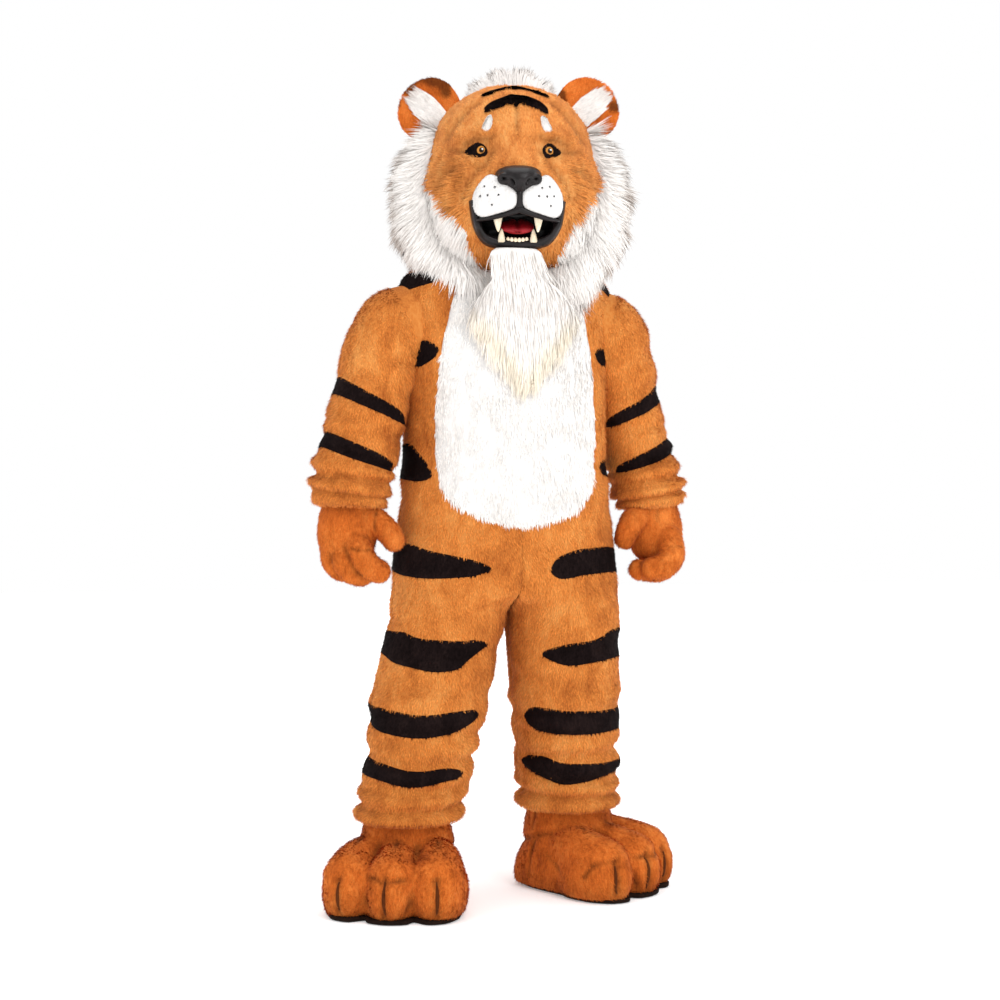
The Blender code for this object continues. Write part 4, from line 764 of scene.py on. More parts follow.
T, Z = np.meshgrid(np.linspace(-1, 1, 41), np.concatenate([np.linspace(1.400, 0.91, 60), np.linspace(0.905, 0.872, 12)]))
edge = smooth(1.0, 0.86, np.abs(T)) * smooth(0.872, 0.889, Z)
points = belly_point(T, Z)
away = grid_normals(points)
if away[:, :, 1].mean() > 0:
    away = -away
lumps = 0.0016 * noise(points, 0.045, 21) + 0.0010 * noise(points, 0.02, 22)
points = points + away * (0.0012 + 0.0035 * edge + lumps * edge)[..., None]
flip = np.cross(points[1, 0] - points[0, 0], points[0, 1] - points[0, 0]) @ away[0, 0] > 0
order = slice(None, None, -1) if flip else slice(None)
belly = shell("v_belly", points[:, order], away[:, order], 0.002, WHITE, tint=np.full(T.shape, 0.86), node="belly", inner_tint=0.7)
belly_surface = Surface(points, away, grid_faces(*T.shape), t=T, z=Z)
belly_fur = pile("pile_belly", belly_surface, 16500, FUR, "plush_white", lambda f: 0.014 + 0.006 * noise(f["p"], 0.03, 40), wide=0.0034,
                 lean=70, seed=31, spread=0.55, segments=2, droop=0.35, clump=0.35, clump_size=0.016, root=0.97, tip=1.03, soft=0.80)
note("belly")


# ------------------------------------------------------------------ suit stripes
def band_grid(table, count_c, count_v):
    """Points (c, z) over a band whose ends round off."""
    c0, c1 = table.rows[0, 0], table.rows[-1, 0]
    u = np.linspace(0, 1, count_c)
    u = 0.5 - 0.5 * np.cos(np.pi * u) * (0.55 + 0.45 * np.abs(np.cos(np.pi * u)))
    c = c0 + (c1 - c0) * np.clip(u, 0, 1)
    low, high = table("low", c), table("high", c)
    v = np.linspace(0, 1, count_v)
    C = np.repeat(c[None, :], count_v, axis=0)
    Z = high[None, :] + (low - high)[None, :] * v[:, None]
    return C, Z


for side in (RIGHT, LEFT):
    word = WORD[side]
    for place, table in BANDS[side]:
        run = table.rows[-1, 0] - table.rows[0, 0]
        C, Z = band_grid(table, max(12, int(40 * run)), 9)
        points = suit_point(side, C, Z, 0.0012)
        away = suit_away(side, C, Z)
        if side == RIGHT:
            points, away, C, Z = points[:, ::-1], away[:, ::-1], C[:, ::-1], Z[:, ::-1]
        test = np.cross(points[0, 1] - points[0, 0], points[1, 0] - points[0, 0]) @ away[0, 0]
        if test < 0:
            points, away, C, Z = points[:, ::-1], away[:, ::-1], C[:, ::-1], Z[:, ::-1]
        name = "stripe_%s_%s" % (place, word)
        patch = shell("v_" + name, points, away, 0.0010, DARK, node=name)
        surface = Surface(points, away, grid_faces(*C.shape), c=C, z=Z)
        area = surface.area.sum()
        coat = pile("pile_" + name, surface, area * 62000, DARK, "plush_dark", 0.0068, wide=0.0028, lean=60,
                    seed=60 + len(place) + side, spread=0.45, root=0.7, tip=1.2)
note("suit stripes")

# ------------------------------------------------------------------ sleeves
SLEEVE = {
    RIGHT: Table("along x y z tilt across deep",
                 (0.00, 0.205, 0.004, 1.342, 12, 0.098, 0.088),
                 (0.09, 0.262, 0.002, 1.322, 30, 0.101, 0.093),
                 (0.18, 0.288, -0.003, 1.283, 54, 0.095, 0.093),
                 (0.29, 0.309, -0.013, 1.225, 72, 0.090, 0.093),
                 (0.42, 0.328, -0.026, 1.155, 77, 0.087, 0.093),
                 (0.55, 0.344, -0.038, 1.095, 77, 0.089, 0.093),
                 (0.66, 0.356, -0.044, 1.043, 76, 0.088, 0.091),
                 (0.77, 0.371, -0.045, 0.998, 77, 0.089, 0.088),
                 (0.88, 0.378, -0.041, 0.952, 83, 0.089, 0.086),
                 (1.00, 0.379, -0.035, 0.912, 88, 0.076, 0.072)),
    LEFT: Table("along x y z tilt across deep",
                (0.00, 0.200, 0.006, 1.342, 12, 0.098, 0.088),
                (0.09, 0.252, 0.010, 1.322, 30, 0.101, 0.093),
                (0.18, 0.276, 0.018, 1.283, 56, 0.094, 0.093),
                (0.29, 0.294, 0.030, 1.225, 73, 0.086, 0.092),
                (0.42, 0.312, 0.040, 1.155, 76, 0.080, 0.091),
                (0.55, 0.329, 0.046, 1.095, 76, 0.079, 0.091),
                (0.66, 0.343, 0.046, 1.043, 75, 0.081, 0.090),
                (0.77, 0.358, 0.041, 0.998, 76, 0.083, 0.088),
                (0.88, 0.368, 0.031, 0.952, 80, 0.086, 0.086),
                (1.00, 0.374, 0.021, 0.912, 84, 0.074, 0.072)),
}
SLEEVE_LONG = 0.52
# c of the middle (0 inner, 0.25 front, 0.5 outer, 0.75 back), along, half run, rise, sag, depth and width in mm
SLEEVE_FOLDS = {
    RIGHT: ((0.32, 0.250, 0.24, 0.05, -0.02, 3.4, 20), (0.16, 0.345, 0.26, -0.05, -0.01, 3.6, 19), (0.45, 0.330, 0.20, 0.04, 0.01, 3.0, 20),
            (0.22, 0.520, 0.30, -0.04, 0.02, 5.0, 16), (0.42, 0.600, 0.26, 0.03, 0.01, 4.5, 15), (0.18, 0.690, 0.34, -0.03, 0.02, 6.0, 14),
            (0.34, 0.790, 0.46, 0.02, 0.025, 9.0, 13), (0.22, 0.888, 0.46, -0.02, 0.020, 9.0, 12), (0.40, 0.840, 0.18, -0.03, 0.00, 4.0, 8),
            (0.15, 0.948, 0.24, 0.015, 0.010, 4.0, 8), (0.75, 0.400, 0.25, -0.05, 0.02, 4.4, 18), (0.70, 0.560, 0.28, 0.04, 0.02, 6.0, 16),
            (0.78, 0.690, 0.30, -0.03, 0.02, 7.0, 14), (0.74, 0.800, 0.32, 0.02, 0.02, 8.0, 13), (0.76, 0.896, 0.32, -0.02, 0.01, 7.5, 12),
            (0.05, 0.16, 0.12, 0.04, 0.00, 4.0, 14), (0.92, 0.22, 0.14, -0.04, 0.00, 4.0, 14)),
    LEFT: ((0.30, 0.270, 0.24, -0.05, -0.02, 3.4, 20), (0.38, 0.370, 0.24, 0.05, -0.01, 3.2, 19), (0.45, 0.220, 0.20, -0.04, 0.01, 3.0, 20),
           (0.30, 0.520, 0.30, 0.05, 0.02, 5.0, 16), (0.42, 0.605, 0.26, -0.03, 0.01, 5.0, 15), (0.28, 0.700, 0.34, -0.03, 0.02, 6.0, 14),
           (0.38, 0.795, 0.44, 0.02, 0.025, 9.0, 13), (0.26, 0.890, 0.44, -0.02, 0.020, 9.0, 12), (0.20, 0.845, 0.18, 0.03, 0.00, 4.0, 8),
           (0.42, 0.950, 0.24, -0.015, 0.010, 4.0, 8), (0.75, 0.410, 0.25, 0.05, 0.02, 4.4, 18), (0.72, 0.560, 0.28, -0.04, 0.02, 6.0, 16),
           (0.78, 0.690, 0.30, 0.03, 0.02, 7.0, 14), (0.74, 0.795, 0.32, -0.02, 0.02, 8.0, 13), (0.76, 0.890, 0.32, 0.02, 0.01, 7.5, 12),
           (0.05, 0.17, 0.12, -0.04, 0.00, 4.0, 14), (0.92, 0.21, 0.14, 0.04, 0.00, 4.0, 14)),
}


def sleeve_shape(side, c, along):
    c, along = np.broadcast_arrays(np.asarray(c, float), np.asarray(along, float))
    table = SLEEVE[side]
    tilt = np.radians(table("tilt", along))
    turn = TAU * c
    across = -np.cos(turn) * table("across", along)
    return np.stack([side * (table("x", along) + across * np.sin(tilt)),
                     table("y", along) - np.sin(turn) * table("deep", along),
                     table("z", along) + across * np.cos(tilt) + FLOOR], axis=-1)


def sleeve_away(side, c, along):
    h = 1e-3
    du = sleeve_shape(side, c + h, along) - sleeve_shape(side, c - h, along)
    dv = sleeve_shape(side, c, np.clip(along + h, 0, 1)) - sleeve_shape(side, c, np.clip(along - h, 0, 1))
    n = unit(np.cross(du, dv))
    middle = np.stack([side * SLEEVE[side]("x", along), SLEEVE[side]("y", along), SLEEVE[side]("z", along) + FLOOR], axis=-1)
    out = (n * (sleeve_shape(side, c, along) - middle)).sum(-1, keepdims=True)
    return n * np.where(out < 0, -1.0, 1.0)


def sleeve_point(side, c, along, lift=0.0):
    p, n = sleeve_shape(side, c, along), sleeve_away(side, c, along)
    h = folds_at_sleeve(side, c, along)
    h = h + 0.0022 * noise(p, 0.08, 33) + 0.0011 * noise(p, 0.03, 34)
    h = h * smooth(0.02, 0.14, along)
    # the cuff is gathered on elastic and turned in
    h = h + 0.003 * np.exp(-((along - 0.965) / 0.018)**2) - 0.010 * smooth(0.975, 1.0, along) + 0.0022 * np.sin(TAU * c * 15 + 2 * noise(p, 0.05, 8)) * smooth(0.94, 0.99, along)
    h = h - 0.0018 * np.exp(-(np.minimum(c, 1 - c) * 0.56 / 0.005)**2)
    return p + n * (h + lift)[..., None]


def folds_at_sleeve(side, c, along):
    out = np.zeros(np.broadcast(c, along).shape)
    for c0, a0, half, rise, sag, depth, width in SLEEVE_FOLDS[side]:
        t = ((c - c0 + 0.5) % 1.0 - 0.5) / half
        line = a0 + rise * t + sag * (1 - t * t)
        out = out + crease(t, (line - along) * SLEEVE_LONG * 1000 / width, depth / 1000)
    return out


SLEEVE_STRIPES = {
    "upper": ((0.06, 0.485, 0.490), (0.10, 0.450, 0.494), (0.25, 0.405, 0.470), (0.50, 0.350, 0.422), (0.75, 0.385, 0.455), (0.90, 0.430, 0.466), (0.94, 0.448, 0.453)),
    "lower": ((0.06, 0.722, 0.727), (0.10, 0.688, 0.732), (0.25, 0.650, 0.725), (0.50, 0.610, 0.690), (0.75, 0.640, 0.705), (0.90, 0.690, 0.722), (0.94, 0.708, 0.713)),
}
SLEEVE_BANDS = [(place, Table("c low high", *rows)) for place, rows in SLEEVE_STRIPES.items()]
for side in (RIGHT, LEFT):
    word = WORD[side]
    c = np.arange(48) / 48
    a = np.concatenate([np.linspace(0.0, 0.1, 8), np.linspace(0.11, 1.0, 78)])
    C, A = np.meshgrid(c, a)
    points = sleeve_point(side, C, A)
    away = grid_normals(points, wrap=True)
    middle = points.mean(axis=1, keepdims=True)
    if np.mean((away * (points - middle)).sum(-1)) < 0:
        away = -away
        points, away, C, A = points[:, ::-1], away[:, ::-1], C[:, ::-1], A[:, ::-1]
    name = "sleeve_" + word
    # painted shade: the sleeve's cloth under the pile is darker, as if in the pile's shade
    arm = shell("v_" + name, points, away, 0.0025, ORANGE, wrap=True, tint=np.full(C.shape, 0.62), node=name)
    surface = Surface(points, away, grid_faces(len(a), 48, True), c=C, a=A)

    def bare(found):
        c, a = found["c"][:, 0], found["a"][:, 0]
        keep = a > 0.05
        for place, table in SLEEVE_BANDS:
            keep &= ~in_band(table, c, a + 0.006)
        return keep

    coat = pile("pile_" + name, surface, 26000, ORANGE, "plush_orange", 0.0100, wide=0.0027, lean=60, seed=90 + side, mask=bare, spread=0.45)
    for place, table in SLEEVE_BANDS:
        C, A = band_grid(table, 46, 9)
        points = sleeve_point(side, C, A, 0.0012)
        away = sleeve_away(side, C, A)
        test = np.cross(points[0, 24] - points[0, 23], points[1, 23] - points[0, 23]) @ away[0, 23]
        if test < 0:
            points, away, C, A = points[:, ::-1], away[:, ::-1], C[:, ::-1], A[:, ::-1]
        name = "stripe_%s_sleeve_%s" % (place, word)
        patch = shell("v_" + name, points, away, 0.0010, DARK, node=name)
        surface = Surface(points, away, grid_faces(*C.shape), c=C, a=A)
        coat = pile("pile_" + name, surface, surface.area.sum() * 62000, DARK, "plush_dark", 0.0068, wide=0.0028, lean=60, seed=95 + side, spread=0.45, root=0.7, tip=1.2)
note("sleeves")


# ------------------------------------------------------------------ stuffed forms
def ball(centre, radius, cuts=(20, 12)):
    """A closed round form as points and quads with triangles at its ends."""
    m = bmesh.new()
    bmesh.ops.create_uvsphere(m, u_segments=cuts[0], v_segments=cuts[1], radius=1.0)
    p = np.array([v.co[:] for v in m.verts])
    bmesh.ops.triangulate(m, faces=m.faces[:])
    f = np.array([[v.index for v in t.verts] for t in m.faces])
    m.free()
    return p * np.asarray(radius) + np.asarray(centre), f


def tube(rings):
    """A closed form through rings of equal count, as points and triangles."""
    rings = np.asarray(rings, float)
    r, c = rings.shape[:2]
    p = np.concatenate([rings.reshape(-1, 3), rings[0].mean(0)[None], rings[-1].mean(0)[None]])
    q = grid_faces(r, c, True)
    f = np.concatenate([q[:, [0, 1, 2]], q[:, [0, 2, 3]]])
    j = np.arange(c)
    k = (j + 1) % c
    start = np.stack([k, j, np.full(c, r * c)], axis=1)
    end = np.stack([j + (r - 1) * c, k + (r - 1) * c, np.full(c, r * c + 1)], axis=1)
    f = np.concatenate([f, start, end])
    v = p[f]
    if np.einsum("ij,ij->i", v[:, 0], np.cross(v[:, 1], v[:, 2])).sum() < 0:
        f = f[:, ::-1]
    return p, f


def along_curve(points, steps=14):
    """Overlapping balls along a bent line through (x, y, z, radius) stations."""
    pts = np.asarray(points, float)
    table = Table("t x y z r", *[(k, *row) for k, row in enumerate(pts)])
    out = []
    for t in np.linspace(0, len(pts) - 1, steps):
        out.append(ball([table("x", t), table("y", t), table("z", t)], table("r", t)))
    return out


def join_round(parts, voxel, rounds, keep_floor=None):
    """Merge closed forms into one skin and soften where they meet; gives points and quads."""
    turned_out = []
    for p, f in parts:
        # every part faces outwards before they are joined
        f = np.asarray(f)
        size = (p[f[:, 0]] * np.cross(p[f[:, 1]], p[f[:, 2]])).sum()
        if f.shape[1] == 4:
            size += (p[f[:, 0]] * np.cross(p[f[:, 2]], p[f[:, 3]])).sum()
        turned_out.append((p, f[:, ::-1] if size < 0 else f))
    parts = turned_out
    pts, faces, first = [], [], 0
    for p, f in parts:
        pts.append(p)
        faces.append(f + first)
        first += len(p)
    mesh = bpy.data.meshes.new("merge")
    mesh.from_pydata(np.concatenate(pts).tolist(), [], np.concatenate(faces).tolist())
    obj = bpy.data.objects.new("merge", mesh)
    scene.collection.objects.link(obj)
    step = obj.modifiers.new("skin", "REMESH")
    step.mode = "VOXEL"
    step.voxel_size = voxel * 1.0
    soft = obj.modifiers.new("soften", "SMOOTH")
    soft.factor = 0.5
    soft.iterations = max(1, int(rounds / (1.0)))
    graph = bpy.context.evaluated_depsgraph_get()
    done = bpy.data.meshes.new_from_object(obj.evaluated_get(graph))
    p = np.empty(len(done.vertices) * 3)
    done.vertices.foreach_get("co", p)
    p = p.reshape(-1, 3)
    f = np.empty(len(done.loops), np.int64)
    done.loops.foreach_get("vertex_index", f)
    f = f.reshape(-1, 4)
    bpy.data.objects.remove(obj)
    bpy.data.meshes.remove(mesh)
    bpy.data.meshes.remove(done)
    return p, f


def vertex_normals(p, f):
    n = np.zeros_like(p)
    a = np.cross(p[f[:, 2]] - p[f[:, 0]], p[f[:, -1]] - p[f[:, 1]])
    for k in range(f.shape[1]):
        np.add.at(n, f[:, k], a)
    v = p[f[:, [0, 1, 2]]]
    if np.einsum("ij,ij->i", v[:, 0] - p.mean(0), np.cross(v[:, 1] - v[:, 0], v[:, 2] - v[:, 0])).sum() < 0:
        n = -n
    return unit(n)


def near_line(p, line):
    """Distance from points to a bent line."""
    line = np.asarray(line, float)
    best = np.full(len(p), 1e9)
    for a, b in zip(line, line[1:]):
        d = b - a
        t = np.clip(((p - a) @ d) / (d @ d), 0, 1)
        best = np.minimum(best, np.linalg.norm(p - (a + t[:, None] * d), axis=1))
    return best


def skin_of(name, parts, voxel, rounds, grooves, material, slot, node, count, long, shade=None, seed=1, way=(0, 0, -1), slits=()):
    p, f = join_round(parts, voxel, rounds)
    n = vertex_normals(p, f)
    rest = p.copy()
    h = 0.0012 * noise(p, 0.05, seed) + 0.0007 * noise(p, 0.02, seed + 1)
    # painted shade: the skin under the pile is darker (0.80)
    tint = np.full(len(p), 0.80)
    deep = np.zeros(len(p))
    for line, depth, width in grooves:
        g = np.exp(-(near_line(p, line) / width)**2)
        h = h - depth * g
        deep = np.maximum(deep, g)
    if shade is not None:
        tint = tint * shade(p)
    p = p + n * h[:, None]
    n = vertex_normals(p, f)
    three = np.concatenate([f[:, [0, 1, 2]], f[:, [0, 2, 3]]]) if f.shape[1] == 4 else f
    # painted shade: the skin is darker the deeper it lies in a groove
    pts, faces, shades, first, cuts = [p], [three if slits else f], [tint * (1 - 0.6 * deep)], len(p), []
    # each claw slit gets a dark lens (tint 0.13): painted shade of the slit's opening
    for line, radius in slits:
        spots = np.array([line[0] + (line[1] - line[0]) * t for t in np.linspace(0, 1, 15)])
        near = np.array([np.argmin(((p - s)**2).sum(1)) for s in spots])
        centre, out = p[near], unit(n[near])
        for _ in range(3):
            centre[1:-1] = (centre[:-2] + centre[1:-1] * 2 + centre[2:]) / 4
        along = unit(np.gradient(centre, axis=0))
        across_ = unit(np.cross(along, out))
        turn = TAU * np.arange(10) / 10
        rings_ = [centre[k] + out[k] * 0.0012 + across_[k] * (radius * math.sin(math.pi * (0.04 + 0.92 * k / 14))**0.7 * np.cos(turn))[:, None]
                  + out[k] * (0.0016 * np.sin(turn))[:, None] for k in range(15)]
        q, g = tube(rings_)
        pts.append(q)
        faces.append(g + first)
        shades.append(np.full(len(q), 0.13))
        first += len(q)
        cuts.append(centre)
    obj = build("v_" + name, np.concatenate(pts), np.concatenate(faces), material, tint=np.concatenate(shades), node=node)

    def uncut(q):
        keep = np.ones(len(q["p"]), bool)
        for (line, radius), centre in zip(slits, cuts):
            keep &= near_line(q["p"], centre) > radius * 1.15
        return keep

    surface = Surface(p, n, f, rest=rest, tint=tint / 0.80)

    def sunk(q):
        out = np.zeros(len(q["p"]))
        for line, depth, width in grooves:
            out = np.maximum(out, min(1.0, depth / 0.006 + 0.25) * np.exp(-(near_line(q["rest"], line) / (0.75 * width))**2))
        return out

    # painted shade: the pile is darker in the grooves and takes on the shade given to the skin
    coat = pile("pile_" + name, surface, count, material, slot, lambda q: long * (1 - 0.60 * sunk(q)), wide=0.0026, lean=60, seed=seed,
                spread=0.55, root=0.74, tip=1.10, way=way, clump=0.18, clump_size=0.012, mask=uncut if slits else None,
                tint=lambda q: np.ones((len(q["p"]), 3)) * (q["tint"] * (1 - 0.72 * sunk(q)[:, None]) * (1 - 0.16 * np.maximum(0, noise(q["p"], 0.03, seed + 5)))[:, None]))
    return obj, coat


# ------------------------------------------------------------------ mitts
MITTS = {
    RIGHT: dict(x0=0.379, y0=-0.035,
                index=((-0.372, -0.074, 0.842, 0.031), (-0.362, -0.098, 0.806, 0.0315), (-0.344, -0.104, 0.778, 0.0300), (-0.320, -0.100, 0.768, 0.0260)),
                middle=((-0.394, -0.050, 0.836, 0.030), (-0.398, -0.076, 0.798, 0.0300), (-0.380, -0.084, 0.768, 0.0275), (-0.352, -0.080, 0.758, 0.0225)),
                little=((-0.414, -0.026, 0.836, 0.027), (-0.420, -0.048, 0.802, 0.0270), (-0.408, -0.056, 0.774, 0.0245), (-0.382, -0.052, 0.762, 0.0205)),
                thumb=((-0.352, -0.044, 0.896, 0.034), (-0.322, -0.066, 0.880, 0.0320), (-0.298, -0.082, 0.858, 0.0285), (-0.284, -0.090, 0.838, 0.0250)),
                seam=((-0.322, -0.086, 0.912), (-0.330, -0.095, 0.880), (-0.332, -0.098, 0.850)),
                dart=((-0.386, -0.115, 0.822), (-0.362, -0.134, 0.816), (-0.340, -0.120, 0.822)),
                dart2=((-0.372, -0.118, 0.878), (-0.360, -0.110, 0.866), (-0.352, -0.104, 0.852))),
    LEFT: dict(x0=0.374, y0=0.021,
               index=((0.398, -0.030, 0.838, 0.033), (0.398, -0.058, 0.804, 0.0320), (0.376, -0.070, 0.774, 0.0305), (0.344, -0.066, 0.766, 0.0270)),
               middle=((0.408, -0.004, 0.830, 0.030), (0.402, -0.026, 0.790, 0.0290), (0.366, -0.036, 0.760, 0.0270), (0.322, -0.034, 0.764, 0.0240)),
               little=((0.412, 0.024, 0.832, 0.028), (0.408, 0.012, 0.790, 0.0270), (0.376, 0.002, 0.764, 0.0240), (0.344, 0.000, 0.762, 0.0210)),
               thumb=((0.345, 0.004, 0.896, 0.034), (0.316, -0.020, 0.882, 0.0320), (0.296, -0.032, 0.858, 0.0285), (0.286, -0.038, 0.838, 0.0255)),
               seam=((0.372, -0.036, 0.920), (0.366, -0.042, 0.880), (0.345, -0.044, 0.858)),
               dart=((0.430, -0.072, 0.820), (0.398, -0.092, 0.822), (0.366, -0.078, 0.818)),
               dart2=((0.404, -0.080, 0.850), (0.392, -0.074, 0.868), (0.384, -0.068, 0.886))),
}
for side, m in MITTS.items():
    word = WORD[side]
    x0, y0 = m["x0"], m["y0"]
    palm = Table("z x y wide deep",
                 (0.940, x0, y0, 0.0560, 0.0520), (0.919, x0, y0, 0.0600, 0.0530), (0.895, x0 + 0.002, y0 - 0.002, 0.0660, 0.0560),
                 (0.860, x0 + 0.004, y0 - 0.006, 0.0690, 0.0560), (0.825, x0 + 0.006, y0 - 0.010, 0.0640, 0.0520),
                 (0.800, x0 + 0.006, y0 - 0.014, 0.0540, 0.0450), (0.782, x0 + 0.004, y0 - 0.018, 0.0300, 0.0260))
    rings = []
    for z in np.linspace(0.940, 0.782, 26):
        turn = TAU * np.arange(32) / 32
        rings.append(np.stack([side * (palm("x", z) - palm("wide", z) * np.cos(turn)), palm("y", z) - palm("deep", z) * np.sin(turn),
                               np.full(32, z)], axis=1))
    parts = [tube(rings)]
    for finger in ("index", "middle", "little", "thumb"):
        parts += along_curve(m[finger])
    parts = [(p + np.array([0, 0, FLOOR]), f) for p, f in parts]
    lines = []
    for key, depth, width in (("seam", 0.0035, 0.0045), ("dart", 0.0030, 0.0045), ("dart2", 0.0022, 0.0050)):
        lines.append((np.asarray(m[key]) + np.array([0, 0, FLOOR]), depth, width))
    # the valleys between the fingers
    for one, other in (("index", "middle"), ("middle", "little")):
        first, second = np.array(m[one]), np.array(m[other])
        between = (first[:, :3] + second[:, :3]) / 2 + np.array([0, 0, FLOOR])
        run = np.gradient(between, axis=0)
        out = unit(np.cross(first[:, :3] - second[:, :3], run))
        out = out * np.where((out * np.array([-0.24 * 1.0, -1.0, -0.1])).sum(-1, keepdims=True) < 0, -1.0, 1.0)
        lines.append((between + out * 0.022, 0.0065, 0.0075))
    skin_of("mitt_" + word, parts, 0.0042, 2, lines, RUST, "plush_rust", "mitt_" + word, 16000, 0.0080, seed=120 + side)
note("mitts")

# ------------------------------------------------------------------ foot covers
SOLE_HIGH = 0.016
STAND = {RIGHT: (-0.2445, -0.042, 22.0), LEFT: (0.171, 0.050, 42.0)}
FOOT = Table("along wide high",
             (0.000, 0.062, 0.060), (0.012, 0.082, 0.092), (0.035, 0.098, 0.120), (0.100, 0.122, 0.168), (0.170, 0.138, 0.160),
             (0.240, 0.150, 0.128), (0.300, 0.130, 0.095))


def on_foot(side, point):
    x, y, turn = STAND[side]
    turn = math.radians(turn) * side
    point = np.asarray(point, float)
    across, along, up = point[..., 0] * side, point[..., 1] - 0.115, point[..., 2]
    return np.stack([x + across * math.cos(turn) + along * math.sin(turn),
                     y + across * math.sin(turn) - along * math.cos(turn), up + FLOOR], axis=-1)


def from_foot(side, p):
    """A point of the costume in the foot's own frame."""
    x, y, turn = STAND[side]
    turn = math.radians(turn) * side
    dx, dy = p[:, 0] - x, p[:, 1] - y
    across = dx * math.cos(turn) + dy * math.sin(turn)
    along = dx * math.sin(turn) - dy * math.cos(turn)
    return np.stack([across * side, along + 0.115, p[:, 2] - FLOOR], axis=1)


TOES = ((-0.100, 0.248, 0.0635, 0.096, 0.128), (0.000, 0.262, 0.0650, 0.100, 0.134), (0.100, 0.244, 0.0645, 0.096, 0.128))
TOE = Table("share size",
            (0.0, 0.84), (0.12, 0.93), (0.30, 1.0), (0.50, 1.0), (0.68, 0.93), (0.82, 0.78), (0.92, 0.56), (0.98, 0.32), (1.0, 0.16))
for side in (RIGHT, LEFT):
    word = WORD[side]
    turn = TAU * np.arange(40) / 40
    base = 0.0065
    rings = []
    for along in np.concatenate([np.linspace(0, 0.04, 7), np.linspace(0.06, 0.30, 16)]):
        wide, high = FOOT("wide", along), FOOT("high", along) - 0.024 * smooth(0.09, 0.16, along)
        x = wide * np.sign(np.cos(turn)) * np.abs(np.cos(turn))**0.75
        z = base + (high - base) * np.maximum(0, (np.sin(turn) + 0.45) / 1.45)**0.85
        rings.append(on_foot(side, np.stack([x, np.full(40, along), z], axis=1)))
    parts = [tube(rings)]
    for across, along, wide, long_, high in TOES:
        rings = []
        for share in np.linspace(0, 1, 22):
            size = TOE("size", share)
            rings.append(on_foot(side, np.stack([across + wide * size * np.cos(turn), along + long_ * size * np.sin(turn),
                                                 np.full(40, base + (high - base) * share)], axis=1)))
        parts.append(tube(rings))
        # the toe runs back up the foot as a fading ridge
        tip = along + long_
        ridge = ((across, tip - 0.070, 0.084, 0.060), (across * 0.95, tip - 0.110, 0.093, 0.060), (across * 0.80, tip - 0.160, 0.106, 0.056), (across * 0.55, tip - 0.210, 0.112, 0.050))
        for p, f in along_curve([(*on_foot(side, row[:3]), row[3]) for row in ridge], 12):
            parts.append((p, f))
    hx, hy = STAND[side][:2]
    ring_z = Table("z radius", (0.09, 0.112), (0.140, 0.108), (0.176, 0.1005), (0.205, 0.095), (0.225, 0.092))
    rings = [np.stack([hx + ring_z("radius", z) * np.cos(turn), hy + ring_z("radius", z) * np.sin(turn), np.full(40, z + FLOOR)], axis=1)
             for z in np.linspace(0.09, 0.225, 16)]
    parts.append(tube(rings))
    F = lambda *rows: on_foot(side, np.array(rows))
    lines = []
    slits = []
    for k, (across, along, wide, long_, high) in enumerate(TOES):
        tip = along + long_
        # the slit for the claw and the seam along the toe; the middle toe has a dart across its knuckle
        off = ((0.010, -0.004, -0.012) if side == RIGHT else (-0.033, -0.024, -0.014))[k] * side
        dip = 0.008 + 6.0 * off * off
        low, high_ = ((0.022, 0.092), (0.020, 0.096), (0.024, 0.088))[k]
        slits.append((F((across + off, tip - dip, low), (across + off * 0.9, tip - dip - 0.006, high_)), 0.0042))
        lines.append((F((across + off, tip - dip, low - 0.004), (across + off, tip - dip + 0.002, 0.055), (across + off * 0.9, tip - dip - 0.006, high_ + 0.006)), 0.0065, 0.0095))
        lines.append((F((across + off * 0.8, tip - 0.016, high_ + 0.006), (across, tip - 0.044, 0.120), (across, tip - 0.084, 0.138), (across * 0.9, tip - 0.14, 0.160)), 0.0026, 0.0070))
        if k == 1:
            lines.append((F((across - 0.060, along + 0.030, 0.088), (across - 0.030, tip - 0.020, 0.098), (across + 0.004, tip - 0.010, 0.092),
                            (across + 0.034, tip - 0.024, 0.102), (across + 0.060, along + 0.028, 0.090)), 0.0045, 0.0070))
        elif side == LEFT and k == 0:
            lines.append((F((across - 0.064, along + 0.010, 0.060), (across - 0.060, along + 0.030, 0.088), (across - 0.030, tip - 0.026, 0.100)), 0.0035, 0.0070))
    for gap in (-0.049, 0.049):
        lines.append((F((gap, 0.335, 0.02), (gap, 0.318, 0.060), (gap, 0.29, 0.100), (gap * 0.96, 0.25, 0.128), (gap * 0.9, 0.20, 0.150), (gap * 0.8, 0.15, 0.168)), 0.0060, 0.0100))
    # where the gaiter meets the foot, and the seams of the heel and the sides
    around = [(0.104 * math.sin(a), 0.115 + 0.112 * math.cos(a), 0.150 - 0.020 * math.cos(a) * (math.cos(a) < 0) * -1 - 0.028 * (1 - math.cos(a)) / 2) for a in np.linspace(0.36 * math.pi, 1.64 * math.pi, 27)]
    lines.append((F(*around), 0.0055, 0.0075))
    lines.append((F((0.010, 0.005, 0.030), (0.010, 0.0, 0.070), (0.010, 0.010, 0.115), (0.010, 0.018, 0.200)), 0.0034, 0.0065))
    for s in (-1, 1):
        lines.append((F((s * 0.092, 0.075, 0.150), (s * 0.090, 0.078, 0.180), (s * 0.088, 0.080, 0.215)), 0.0034, 0.0065))
    for s in (-1, 1):
        lines.append((F((s * 0.118, 0.07, 0.022), (s * 0.119, 0.075, 0.060), (s * 0.112, 0.080, 0.100), (s * 0.098, 0.090, 0.128)), 0.0040, 0.0065))
        lines.append((F((s * 0.128, 0.13, 0.095), (s * 0.140, 0.17, 0.070), (s * 0.145, 0.20, 0.050)), 0.0020, 0.0060))

